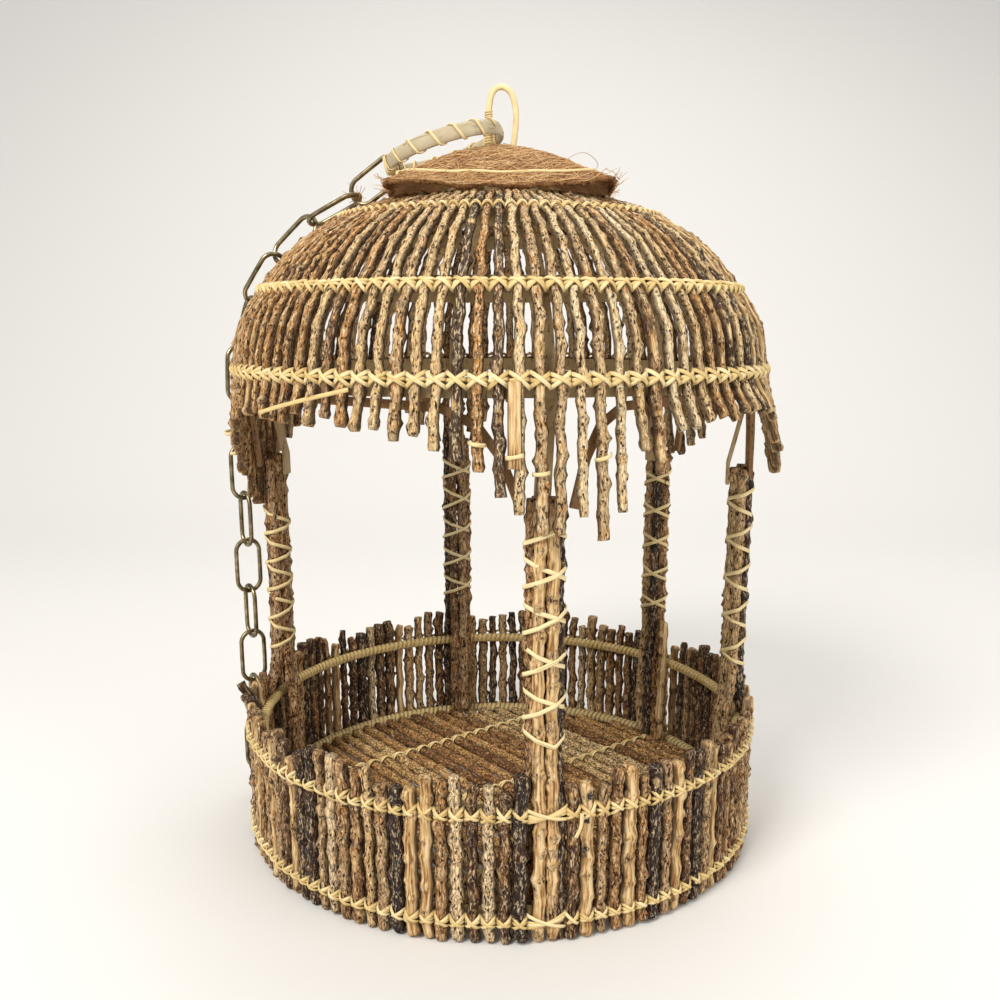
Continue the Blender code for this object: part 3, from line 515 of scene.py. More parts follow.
@dataclass(frozen=True)
class StrandGroup:
    """The shared weathering of strands: grain, ridges, cracks, pits, patches and relief.

    Attributes:
        name: The node group's name.
        patch_share, pit_share, plate_share: The coarser patterns' scales, by the grain's.
        crack_edge, ridge_edge: The grain's values where cracks end and ridges begin.
        crack_weight: How far the crack share moves that edge.
        soft: How softly those edges fade.
        seam_edges, pit_edges, plate_edge: Distances between which seams, pits and plates fade.
        plate_relief, pit_relief: How far plates stand out and pits sink, by the grain.
    """

    name: str = "strand weathering"
    patch_share: float = 0.12
    pit_share: float = 0.34
    plate_share: float = 0.62
    crack_edge: float = 0.37
    ridge_edge: float = 0.53
    crack_weight: float = 0.2
    soft: float = 0.07
    seam_edges: tuple[float, float] = (0.16, 0.02)
    pit_edges: tuple[float, float] = (0.30, 0.14)
    plate_edge: float = 0.3
    plate_relief: float = 0.45
    pit_relief: float = 0.4

    def tree(self) -> bpy.types.NodeTree:
        """Build the group, or find it if it is built.

        Returns:
            The node group, with its named sockets.
        """
        tree, nodes, given, result = shared_group(
            self.name, ("Vector",), ("Grain", "Stretch", "Crack share", "Pit share", "Plates"),
            ("Grain", "Patches", "Ridge", "Crack", "Pit", "Height"))
        if nodes is None:
            return tree
        vector, fine, plates = given["Vector"], given["Grain"], given["Plates"]
        lengthwise = nodes.math("DIVIDE", fine, given["Stretch"])
        along = nodes.set(nodes.add("ShaderNodeCombineXYZ"), X=fine, Y=fine, Z=lengthwise)
        along = along.outputs[0]
        grain = nodes.noise(nodes.vector_math("MULTIPLY", vector, along), 1.0, 6.0, 0.8)
        coarse = nodes.math("MULTIPLY", fine, self.patch_share)
        patches = nodes.noise(nodes.vector_math("MULTIPLY", vector, coarse))
        edge = nodes.cells(vector, along, self.plate_share, grain, "DISTANCE_TO_EDGE")
        spot = nodes.cells(vector, fine, self.pit_share, grain, "F1")
        limit = nodes.math("ADD", self.crack_edge,
                           nodes.math("MULTIPLY", given["Crack share"], self.crack_weight))
        crack = nodes.clamp(nodes.math("DIVIDE", nodes.math("SUBTRACT", limit, grain), self.soft))
        seam = nodes.math("MULTIPLY", plates, nodes.range(edge, *self.seam_edges))
        pit = nodes.math("MULTIPLY", given["Pit share"], nodes.range(spot, *self.pit_edges))
        raised = nodes.math("MULTIPLY", plates, nodes.range(edge, 0.0, self.plate_edge))
        height = nodes.math("ADD", grain, nodes.math("MULTIPLY", raised, self.plate_relief))
        sunk = nodes.math("MULTIPLY", pit, self.pit_relief)
        nodes.set(result, Grain=grain, Patches=patches, Pit=pit,
                  Ridge=nodes.range(grain, self.ridge_edge, self.ridge_edge + self.soft),
                  Crack=nodes.math("MAXIMUM", crack, seam),
                  Height=nodes.math("SUBTRACT", height, sunk))
        return tree


@dataclass(frozen=True)
class GapShadeGroup:
    """The shared painted shade on the flanks of strands that stand side by side in a ring, where
    they turn towards their neighbours.

    Attributes:
        name: The node group's name.
        unshaded, full: How far a face turns to its neighbour where the painted shade begins and is
            full.
    """

    name: str = "painted gap shade"
    unshaded: float = 0.55
    full: float = 0.95

    def tree(self) -> bpy.types.NodeTree:
        """Build the group, or find it if it is built.

        Returns:
            The node group, with its named sockets.
        """
        tree, nodes, given, result = shared_group(
            self.name, ("Place", "Normal"), ("Amount",), ("Grime",))
        if nodes is None:
            return tree
        # Painted shade: faces that turn sideways round the ring, towards the neighbouring strands,
        # are darkened.
        round_ring = nodes.vector_math("CROSS_PRODUCT", (0.0, 0.0, 1.0), given["Place"])
        facing = nodes.vector_math("DOT_PRODUCT", nodes.vector_math("NORMALIZE", round_ring),
                                   given["Normal"])
        turned = nodes.range(nodes.math("ABSOLUTE", facing), self.unshaded, self.full)
        nodes.set(result, Grime=nodes.math("MULTIPLY", turned, given["Amount"]))
        return tree


@dataclass(frozen=True)
class Finish:
    """A fibrous finish: grain along a strand, cracks, and each strand's own shade.

    Attributes:
        name: The material's name.
        shades: Its colours, from the darkest strand to the palest.
        crack: The colour down in its cracks.
        crack_share: How much of its surface is crack.
        grain: How many grains lie across a metre.
        stretch: How much longer than wide a grain is.
        bump: How deep the grain is, in metres.
        roughness, rough_spread: How rough it is on average, and how far that varies.
        on_strands: Whether the pattern follows strands, or the solid's own axes.
        pits: How dark its pits are.
        plates: How far its bark is split in plates.
        ridges: How far its ridges are lightened to its palest shade, partly wear and partly a
            painted highlight on the raised grain.
        drift: How far its patches change a strand's shade.
        patch_scale: The scale of the patches that shade a solid without strands.
        shine: How much it mirrors.
        bare: The colours of the wood where the bark is off, or nothing.
        bare_edge: How sharply the bark ends there.
        streak_share, streak_length: The wood's streaks, by the grain's scale and along it.
        streak_edges, streak_relief: Where the streaks' colours end, and how high they are.
        scar_edges, scar_dark: Where a knot's scar begins and is full, and how dark it is.
        painted_gap_shade: How dark the painted shade on the flanks of its strands is, where they
            stand in a ring.
    """

    name: str
    shades: tuple[Colour, ...]
    crack: Colour
    crack_share: float = 0.35
    grain: float = 700.0
    stretch: float = 6.0
    bump: float = 0.0006
    roughness: float = 0.85
    rough_spread: float = 0.08
    on_strands: bool = True
    pits: float = 0.8
    plates: float = 0.0
    ridges: float = 0.0
    drift: float = 0.16
    patch_scale: float = 40.0
    shine: float = 0.25
    bare: tuple[Colour, ...] = ()
    bare_edge: float = 11.0
    streak_share: float = 0.8
    streak_length: float = 0.07
    streak_edges: tuple[float, float] = (0.38, 0.62)
    streak_relief: float = 0.7
    scar_edges: tuple[float, float] = (0.16, 0.42)
    scar_dark: float = 0.75
    painted_gap_shade: float = 0.0

    def material(self) -> bpy.types.Material:
        """Build the finish.

        Returns:
            The material, with its nodes.
        """
        material, nodes = new_material(self.name)
        place = nodes.add("ShaderNodeTexCoord").outputs["Object"]
        if self.on_strands:
            vector, tone = nodes.attribute(REST_LAYER, "Vector"), nodes.attribute(TONE_LAYER)
        else:
            vector, tone = place, nodes.noise(place, self.patch_scale, stretch=(1.0, 1.0, 1.0))
        marks = nodes.set(
            nodes.add("ShaderNodeGroup", node_tree=StrandGroup().tree()), Vector=vector,
            Grain=self.grain, Stretch=self.stretch, Crack_share=self.crack_share,
            Pit_share=self.pits, Plates=self.plates).outputs
        drift = nodes.range(marks["Patches"], *NOISE_EDGES, -self.drift, self.drift)
        colour = nodes.ramp(nodes.math("ADD", tone, drift), self.shades)
        # Ridges mixed towards the palest shade: partly wear, partly a painted highlight on the
        # raised grain.
        colour = nodes.mix(nodes.math("MULTIPLY", marks["Ridge"], self.ridges), colour,
                           (*self.shades[-1], 1.0))
        deep = (*self.crack, 1.0)
        for mask in ("Crack", "Pit"):
            colour = nodes.mix(marks[mask], colour, deep)
        height = marks["Height"]
        if self.bare:
            colour, height = self._peel(nodes, vector, marks["Patches"], colour, height)
        # Painted shade between strands: flanks that face a neighbour are mixed towards the crack
        # colour.
        if self.painted_gap_shade:
            gaps = nodes.set(
                nodes.add("ShaderNodeGroup", node_tree=GapShadeGroup().tree()), Place=place,
                Normal=nodes.add("ShaderNodeNewGeometry").outputs["Normal"], Amount=self.painted_gap_shade)
            colour = nodes.mix(gaps.outputs["Grime"], colour, deep)
        rough = nodes.range(marks["Grain"], *NOISE_EDGES, self.roughness + self.rough_spread,
                            self.roughness - self.rough_spread)
        nodes.surface(colour, rough, height, self.bump, {"Specular IOR Level": self.shine})
        return material

    def _peel(self, nodes: Nodes, vector: Socket, patches: Socket, colour: Socket,
              height: Socket) -> tuple[Socket, Socket]:
        """Bare the wood where the bark is off, and darken the knots' scars.

        Args:
            nodes: The material's nodes.
            vector: What the pattern lies on.
            patches: The pattern that the bark is left in.
            colour: The bark's colour.
            height: The bark's relief.

        Returns:
            The colour and the relief of bark and wood.
        """
        streaks = nodes.noise(vector, self.grain * self.streak_share, 4.0,
                              stretch=(1.0, 1.0, self.streak_length))
        wood = nodes.ramp(nodes.range(streaks, *self.streak_edges), self.bare)
        left = nodes.math("MULTIPLY_ADD", nodes.attribute(PEEL_LAYER), 0.5, -0.75)
        peel = nodes.clamp(nodes.math("MULTIPLY", nodes.math("ADD", patches, left),
                                      self.bare_edge))
        scar = nodes.range(nodes.attribute(KNOT_LAYER), *self.scar_edges)
        colour = nodes.mix(nodes.math("MULTIPLY", scar, self.scar_dark),
                           nodes.mix(peel, colour, wood), (*self.crack, 1.0))
        return colour, nodes.value_mix(
            peel, height, nodes.math("MULTIPLY", streaks, self.streak_relief))


PEELED = ((0.24, 0.11, 0.04), (0.50, 0.30, 0.12), (0.64, 0.43, 0.20), (0.78, 0.60, 0.35))
# Dome and wall bark also paint shade on strand flanks that face a neighbour in the ring.
DOME_BARK = Finish(
    "dome bark", ((0.11, 0.075, 0.05), (0.33, 0.175, 0.075), (0.62, 0.31, 0.10),
                  (0.57, 0.395, 0.21), (0.78, 0.515, 0.23), (0.92, 0.72, 0.44)),
    (0.045, 0.022, 0.010), 0.42, grain=1000.0, stretch=3.2, bump=0.0014, pits=0.9, plates=0.4,
    ridges=0.72, bare=PEELED, painted_gap_shade=0.8)
WALL_BARK = Finish(
    "wall bark", ((0.040, 0.036, 0.036), (0.20, 0.105, 0.05), (0.50, 0.25, 0.09),
                  (0.57, 0.38, 0.20), (0.80, 0.50, 0.21), (0.92, 0.69, 0.41)),
    (0.030, 0.010, 0.003), 0.45, grain=850.0, stretch=3.4, bump=0.0017, plates=0.55, ridges=0.6,
    bare=PEELED, painted_gap_shade=0.7)
POST_BARK = Finish(
    "post bark", ((0.040, 0.034, 0.032), (0.20, 0.105, 0.05), (0.48, 0.24, 0.085),
                  (0.54, 0.36, 0.20), (0.70, 0.44, 0.19), (0.82, 0.62, 0.39)),
    (0.026, 0.010, 0.003), 0.45, grain=850.0, stretch=3.4, bump=0.0017, plates=0.55, ridges=0.55,
    bare=PEELED)
FLOOR_BARK = Finish(
    "floor bark", ((0.26, 0.115, 0.04), (0.54, 0.27, 0.095), (0.74, 0.41, 0.15),
                   (0.86, 0.54, 0.22), (0.94, 0.68, 0.34)),
    (0.050, 0.018, 0.005), 0.45, grain=850.0, stretch=1.6, bump=0.0014, pits=0.7, plates=0.8,
    ridges=0.4, bare=PEELED)
SPLIT_CANE = Finish(
    "split cane", ((0.60, 0.42, 0.16), (0.74, 0.56, 0.25), (0.86, 0.71, 0.40)),
    (0.42, 0.26, 0.09), 0.08, grain=1400.0, stretch=14.0, bump=0.00015, roughness=0.5, pits=0.1)
HOOP_CANE = Finish(
    "hoop cane", ((0.55, 0.39, 0.17), (0.66, 0.50, 0.24), (0.74, 0.59, 0.32)),
    (0.36, 0.22, 0.08), 0.08, grain=500.0, stretch=3.0, bump=0.0002, roughness=0.55,
    on_strands=False, pits=0.15)
SPLIT_BAMBOO = Finish(
    "split bamboo", ((0.30, 0.20, 0.09), (0.44, 0.31, 0.15), (0.56, 0.42, 0.22)),
    (0.16, 0.09, 0.035), 0.14, grain=600.0, stretch=8.0, bump=0.0002, roughness=0.55,
    on_strands=False, pits=0.4)
ARCH_BAMBOO = Finish(
    "arch bamboo", ((0.17, 0.085, 0.035), (0.28, 0.15, 0.06), (0.40, 0.23, 0.10)),
    (0.08, 0.04, 0.018), 0.14, grain=600.0, stretch=8.0, bump=0.0002, roughness=0.6,
    on_strands=False, pits=0.4)
RING_BAMBOO = Finish(
    "ring bamboo", ((0.36, 0.29, 0.18), (0.52, 0.44, 0.29), (0.68, 0.60, 0.43)),
    (0.20, 0.15, 0.08), 0.10, stretch=14.0, bump=0.0002, roughness=0.5, pits=0.3)
COIR_FIBRE = Finish(
    "coir fibre", ((0.30, 0.14, 0.055), (0.50, 0.27, 0.11), (0.66, 0.41, 0.19),
                   (0.78, 0.56, 0.31)),
    (0.16, 0.07, 0.03), 0.15, grain=1500.0, stretch=12.0, bump=0.0002, roughness=0.9, pits=0.2)
COIR_CLOTH = Finish(
    "coir cloth", ((0.20, 0.09, 0.035), (0.36, 0.18, 0.07), (0.50, 0.28, 0.12)),
    (0.09, 0.04, 0.016), 0.40, grain=900.0, stretch=1.0, bump=0.0009, roughness=0.92,
    on_strands=False)


@dataclass(frozen=True)
class AgedBrass:
    """Darkened brass, brighter in random patches of its tarnish.

    Attributes:
        name: The material's name.
        patches: The scale of its tarnish.
        shades, places: Its colours, and where each lies in the tarnish.
        roughness: How rough it is where it is dark and where it is bright.
        bump: How deep the tarnish is, in metres.
    """

    name: str = "aged brass"
    patches: float = 160.0
    shades: tuple[Colour, ...] = ((0.12, 0.095, 0.05), (0.27, 0.22, 0.125), (0.46, 0.39, 0.23))
    places: tuple[float, ...] = (0.35, 0.52, 0.72)
    roughness: tuple[float, float] = (0.5, 0.28)
    bump: float = 0.0001

    def material(self) -> bpy.types.Material:
        """Build the finish.

        Returns:
            The material, with its nodes.
        """
        material, nodes = new_material(self.name)
        place = nodes.add("ShaderNodeTexCoord").outputs["Object"]
        tarnish = nodes.noise(place, self.patches, 5.0, 0.3, (1.0, 1.0, 1.0))
        nodes.surface(nodes.ramp(tarnish, self.shades, self.places),
                      nodes.range(tarnish, *NOISE_EDGES, *self.roughness), tarnish, self.bump,
                      {"Metallic": 1.0})
        return material


@dataclass
class Profile:
    """The dome twigs' middle line.

    Attributes:
        points: Its points as radius and height, from the eaves up.
        eaves, shoulder, crown: The heights at which it is lashed.
        steps: How finely it is measured.
    """

    points: tuple[tuple[float, float], ...] = (
        (0.1573, 0.2910), (0.1528, 0.3165), (0.1401, 0.3378),
        (0.1196, 0.3610), (0.0936, 0.3775), (0.0760, 0.3840), (0.0670, 0.3874))
    eaves: float = 0.2910
    shoulder: float = 0.3378
    crown: float = 0.3775
    steps: int = 60

    def at_height(self, height: float) -> tuple[Vector, Vector, Vector]:
        """Find the point at a height, with its direction up the dome and its outward normal.

        Args:
            height: The height over the ground.

        Returns:
            The point, the direction and the normal, as radius and height.
        """
        line = smooth_line([Vector((r, 0.0, z)) for r, z in self.points], self.steps)
        index = min(range(1, self.steps - 1), key=lambda k: abs(line[k].z - height))
        along = (line[index + 1] - line[index - 1]).normalized()
        return line[index], along, Vector((along.z, 0.0, -along.x))


def swing(flat: Vector, angle_deg: float) -> Vector:
    """Carry a radius and height vector round to an angle."""
    return outward(angle_deg) * flat.x + UP * flat.z


@dataclass
class Twigs:
    """How the gnarled twigs are shaped: they bend and swell at each bud.

    Attributes:
        ring_gap: How far apart their rings of points are.
        corners: How many corners their section has.
        knobs, bare_knobs: How far their surface wanders, as a share of their radius, and how
            much less it does where the bark is off.
        wander: How far their middle line wanders, in metres.
        bend, lean: The least and greatest share of that at a bud, and its share outwards.
        peeled_share: How many of them are bare of bark.
        peeled, patchy: How bare those and the others are, at least and at most.
        bud: How far a bud stands out, as a share of the radius.
        bud_gaps: The least and greatest distance from bud to bud.
        bud_length, bud_swell: How long a bud is, and how far the whole twig swells there.
        swell, end_share: How far a twig's radius varies, and its share at both ends.
        mix, mix_spread: How common each shade is, darkest first, and how far it varies.
    """

    ring_gap: float = 0.0022
    corners: int = 8
    knobs: float = 0.10
    bare_knobs: float = 0.6
    wander: float = 0.0006
    bend: tuple[float, float] = (0.3, 1.3)
    lean: float = 0.4
    peeled_share: float = 0.18
    peeled: tuple[float, float] = (0.75, 1.0)
    patchy: tuple[float, float] = (0.0, 0.38)
    bud: float = 0.42
    bud_gaps: tuple[float, float] = (0.008, 0.017)
    bud_length: float = 0.0020
    bud_swell: float = 0.14
    swell: float = 0.03
    end_share: float = 0.85
    mix: tuple[float, ...] = (0.04, 0.12, 0.20, 0.28, 0.22, 0.14)
    mix_spread: float = 0.07

    def shade(self, rng: random.Random) -> float:
        """One twig's own shade."""
        steps = len(self.mix) - 1
        return (rng.choices(range(steps + 1), self.mix)[0] / steps
                + rng.uniform(-self.mix_spread, self.mix_spread))

    def add(self, bundle: Bundle, points: Sequence[Vector], side: Vector, radius: float,
            taper: float, rng: random.Random, tone: float | None = None,
            peel: float | None = None) -> None:
        """Add one twig along a line of points.

        Args:
            bundle: The bundle that it joins.
            points: The points of its middle line.
            side: A direction square to that line.
            radius: Its radius at its first end.
            taper: Its last end's radius, as a share of the first.
            rng: The source of its kinks.
            tone: Its own shade, or None for a chance one.
            peel: How bare of bark it is, or None for a chance.
        """
        length = length_of(points)
        rings = max(4, round(length / self.ring_gap))
        path = smooth_line(points, rings)
        away = side.cross((points[-1] - points[0]).normalized())
        places = [-rng.uniform(*self.bud_gaps)]
        while places[-1] < length:
            places.append(places[-1] + rng.uniform(*self.bud_gaps))
        turns = [rng.uniform(0.0, math.tau) for _ in places]
        bends = [self.wander * math.copysign(rng.uniform(*self.bend), number % 2 - 0.5)
                 for number in range(len(places))]
        if peel is None:
            peel = rng.uniform(*(self.peeled if rng.random() < self.peeled_share
                                 else self.patchy))
        size, buds = [], []
        for index, place in enumerate(path):
            run = length * index / (rings - 1)
            near = min(range(len(places)), key=lambda spot: abs(places[spot] - run))
            bud = math.exp(-((run - places[near]) / self.bud_length) ** 2)
            share = 1.0 + (taper - 1.0) * index / (rings - 1)
            end = self.end_share if index in (0, rings - 1) else 1.0
            size.append(radius * share * end * (1.0 - self.bud_swell / 2 + self.bud_swell * bud
                                                + rng.uniform(-self.swell, self.swell)))
            buds.append((self.bud * bud, turns[near]))
            aside = float(np.interp(run, places, bends))
            path[index] = (place + side * aside
                           + away * (aside * self.lean * math.sin(turns[0])))
        bundle.add(path, side, size, size, self.shade(rng) if tone is None else tone,
                   self.corners, self.knobs * (1.0 - self.bare_knobs * peel), rng, peel=peel,
                   buds=buds)


def stitch(bundle: Bundle, place: Vector, along: Vector, away: Vector, side: Vector,
           reach: float, rise: float, radius: float, width: float, tone: float) -> None:
    """Lay one strand of cane slantwise over a twig, dipping behind it at both ends.

    Args:
        bundle: The bundle of cane that it joins.
        place: The middle of the twig there.
        along: The direction of the twig.
        away: The direction that the twig's outer face looks.
        side: The direction across the twig.
        reach: How far to each side the strand goes.
        rise: How far along the twig it climbs on each side.
        radius: The twig's radius.
        width: The strand's width.
        tone: Its own shade.
    """
    rings, clear, dip, half_thick = 9, 0.0009, 0.0002, 0.00045
    slant = (side * reach + along * rise).normalized()
    path = []
    for index in range(rings):
        share = 2.0 * index / (rings - 1) - 1.0
        lift = (radius + clear) * math.cos(share * math.pi * 0.5) ** 0.6 - dip
        path.append(place + side * (reach * share) + along * (rise * share) + away * lift)
    bundle.add(path, away.cross(slant), width * 0.5, half_thick, tone, 6)


@dataclass(frozen=True)
class Lashing:
    """Strands of cane that cross over a twig at one place.

    Attributes:
        ways: For each strand, its climb as a share of the rise, and how far out it lies.
        spread: The least and greatest share of the rise, by chance.
        tones: The least and greatest shade, by chance.
    """

    ways: tuple[tuple[float, float], ...]
    spread: tuple[float, float] = (0.8, 1.2)
    tones: tuple[float, float] = (0.15, 1.0)

    def tie(self, lash: Bundle, place: Vector, ways: tuple[Vector, Vector, Vector],
            reach: float, rise: float, radius: float, width: float,
            rng: random.Random) -> None:
        """Tie one twig.

        Args:
            lash: The bundle of cane that the strands join.
            place: The middle of the twig there.
            ways: The directions along the twig, out from its face and across it.
            reach: How far to each side the strands go.
            rise: How far along the twig they climb on each side.
            radius: The twig's radius.
            width: The strands' width.
            rng: The source of chance.
        """
        for way, lift in self.ways:
            stitch(lash, place, *ways, reach, way * rise * rng.uniform(*self.spread),
                   radius + lift, width, rng.uniform(*self.tones))


@dataclass
class Dome:
    """The dome of twigs with its fringe, lashed at the eaves, shoulder and crown.

    Attributes:
        bark, cane: The finishes of its twigs and of its lashings.
        profile, twigs, lashing: Its shape, and how its twigs and lashings are made.
        pitch_deg: How far apart its twigs are.
        radius, taper: Their radius at the eaves, and its share at the crown.
        thickness: The shares by which the radius varies from twig to twig.
        fringe_height, fringe_drop: How high the tips hang in mid bay, and how far they drop.
        fringe_step, tip_spread: How far they climb next to a post, and how far they vary.
        wobble_deg: How far aside a tip may hang.
        flare, flare_to_right: How far the tips stand out, and how much farther at the right.
        longer: The front twigs whose tips hang lowest, by bay and number, with their heights.
        tawny_deg, tawny_tone, tawny_spread: Where the twigs are alike tawny, and their shade.
        rows: For each row of stitches, the Profile's height that it lies at, its rise, the
            twig's radius there as a share, and the strands' width.
        stitch_reach: How far to each side a stitch goes, by the twigs' distance.
        strip_bay, strip_deg: The bay that the flat strip's end is built with, and its angle.
        strip: Its drop, half width and half thickness.
        slant: The slant strand's course over the left fringe, as angles and heights.
        tied: The banded fringe twigs: bay, number, height and rise.
        band_reach: How far to each side those bands go.
    """

    bark: bpy.types.Material
    cane: bpy.types.Material
    profile: Profile = field(default_factory=Profile)
    twigs: Twigs = field(default_factory=lambda: Twigs(peeled_share=0.07))
    pitch_deg: float = 3.6
    radius: float = 0.0030
    taper: float = 0.74
    thickness: tuple[float, float] = (0.88, 1.16)
    fringe_height: float = 0.272
    fringe_drop: float = 0.028
    fringe_step: float = 0.0085
    tip_spread: tuple[float, float] = (-0.0045, 0.003)
    wobble_deg: float = 0.4
    flare: float = 0.0065
    flare_to_right: float = 0.0042
    longer: dict[tuple[str, int], float] = field(default_factory=lambda: {
        ("front", 2): 0.2169, ("front", 3): 0.2302, ("front", 5): 0.2473})
    tawny_deg: tuple[float, float] = (252.0, 322.0)
    tawny_tone: float = 0.4
    tawny_spread: tuple[float, float] = (-0.1, 0.08)
    rows: tuple[tuple[str, float, float, float], ...] = (
        ("eaves", 0.0036, 1.0, 0.0023), ("shoulder", 0.0033, 0.97, 0.0022),
        ("crown", 0.0008, 0.8, 0.0018))
    lashing: Lashing = Lashing(((1.0, 0.0), (-1.0, 0.0005), (0.12, -0.0002)))
    stitch_reach: float = 0.52
    strip_bay: str = "left"
    strip_deg: float = 2.4
    strip: tuple[float, float, float] = (0.0385, 0.0034, 0.0009)
    slant: tuple[tuple[float, float], ...] = (
        (334.0, 0.2885), (328.0, 0.2848), (322.0, 0.2812), (316.5, 0.2776), (311.0, 0.2742))
    tied: tuple[tuple[str, int, float, float], ...] = (
        ("front", 2, 0.2570, 0.0014), ("front", 5, 0.2600, -0.0008), ("left", 29, 0.2500, 0.0004),
        ("left", 26, 0.2640, -0.0006), ("left", 3, 0.2410, 0.0006), ("left", 5, 0.2560, -0.0008))
    band_reach: float = 0.0042

    def build(self) -> None:
        """Build the five bays of twigs and their stitches."""
        lash = Bundle("dome_lashing")
        rng = random.Random(31)
        for bay, start, end in bays():
            bark = Bundle(f"dome_bark_{bay}")
            count = round((end - start) / self.pitch_deg)
            for index in range(count):
                share = (index + 0.5) / count
                angle = start + (end - start) * share
                self._twig(bark, angle, self._tip(bay, index, count, share, rng), rng)
                self._stitches(lash, angle, (end - start) / count, rng)
            if bay == self.strip_bay:
                self._strip(bark, lash)
            bark.finish(self.bark, Slot.PALE_BARK, [f"dome_twigs_{bay}"])
        self._ties(lash)
        lash.finish(self.cane, Slot.CANE)

    def _tip(self, bay: str, index: int, count: int, share: float, rng: random.Random) -> float:
        """Find how low one twig's tip hangs.

        Args:
            bay: The twig's bay.
            index: Its number in the bay.
            count: How many twigs the bay has.
            share: How far through the bay it stands.
            rng: The source of chance.

        Returns:
            The tip's height.
        """
        if (bay, index) in self.longer:
            return self.longer[(bay, index)]
        posts = list(FRINGE_AT_POST)
        following = posts[(posts.index(bay) + 1) % len(posts)]
        arch = self.fringe_height - self.fringe_drop * (abs(share - 0.5) * 2) ** 3
        return rng.uniform(*self.tip_spread) + min(
            arch, FRINGE_AT_POST[bay] + self.fringe_step * index,
            FRINGE_AT_POST[following] + self.fringe_step * (count - 1 - index))

    def _twig(self, bark: Bundle, angle: float, tip: float, rng: random.Random) -> None:
        """Add one twig from its fringe tip up to the crown.

        Args:
            bark: The bundle that it joins.
            angle: Where it stands.
            tip: Its tip's height.
            rng: The source of chance.
        """
        flare = self.flare + self.flare_to_right * outward(angle).x
        aside = rng.uniform(-self.wobble_deg, self.wobble_deg)
        line = [on_ring(self.profile.points[0][0] + flare, angle + aside, tip)]
        line += [on_ring(r, angle, z) for r, z in self.profile.points]
        first, last = self.tawny_deg
        tawny = first < angle % 360.0 < last
        tone = self.tawny_tone + rng.uniform(*self.tawny_spread) if tawny else None
        self.twigs.add(bark, line, sideways(angle), self.radius * rng.uniform(*self.thickness),
                       self.taper, rng, tone)

    def _strip(self, bark: Bundle, lash: Bundle) -> None:
        """Add the flat strip's end that hangs among the front fringe, with its tie.

        Args:
            bark: The bundle of twigs that the strip joins.
            lash: The bundle of cane that the tie joins.
        """
        angle, side = self.strip_deg, sideways(self.strip_deg)
        drop, half_width, half_thick = self.strip
        radius = self.profile.points[0][0] + self.radius + 0.0016
        path = smooth_line([on_ring(radius, angle, self.profile.eaves + 0.002),
                            on_ring(radius + 0.0032, angle, self.profile.eaves - drop)], 8)
        bark.add(path, side, half_width, half_thick, 0.85, peel=1.0)
        for way in (1.0, 0.4):
            stitch(lash, path[6], UP, outward(angle), side, self.band_reach, way * 0.0010,
                   0.0010, 0.0019, 0.8)

    def _ties(self, lash: Bundle) -> None:
        """Add the slant strand over the left post's fringe, and the bands round long twigs.

        Args:
            lash: The bundle of cane that they join.
        """
        radius = self.profile.points[0][0] + self.flare * 0.8 + self.radius
        line = [on_ring(radius + 0.0006 * (number % 2), angle, height)
                for number, (angle, height) in enumerate(self.slant)]
        lash.add(smooth_line(line, 26), UP, 0.0012, 0.0004, 0.45, 6)
        spans = {bay: (start, end) for bay, start, end in bays()}
        for bay, index, height, rise in self.tied:
            start, end = spans[bay]
            angle = start + (end - start) * (index + 0.5) / round((end - start) / self.pitch_deg)
            stitch(lash, on_ring(radius - self.radius, angle, height), UP, outward(angle),
                   sideways(angle), self.band_reach, rise, self.radius, 0.0022, 0.8)

    def _stitches(self, lash: Bundle, angle: float, step_deg: float,
                  rng: random.Random) -> None:
        """Cross the stitches over one twig at the eaves and shoulder, and loop the crown.

        Args:
            lash: The bundle of cane that they join.
            angle: Where the twig stands.
            step_deg: How far it is to the next twig.
            rng: The source of chance.
        """
        for row, rise, thick, width in self.rows:
            flat, along, normal = self.profile.at_height(getattr(self.profile, row))
            ways = (swing(along, angle), swing(normal, angle), sideways(angle))
            self.lashing.tie(lash, swing(flat, angle), ways,
                             math.radians(step_deg) * flat.x * self.stitch_reach, rise,
                             self.radius * thick, width, rng)


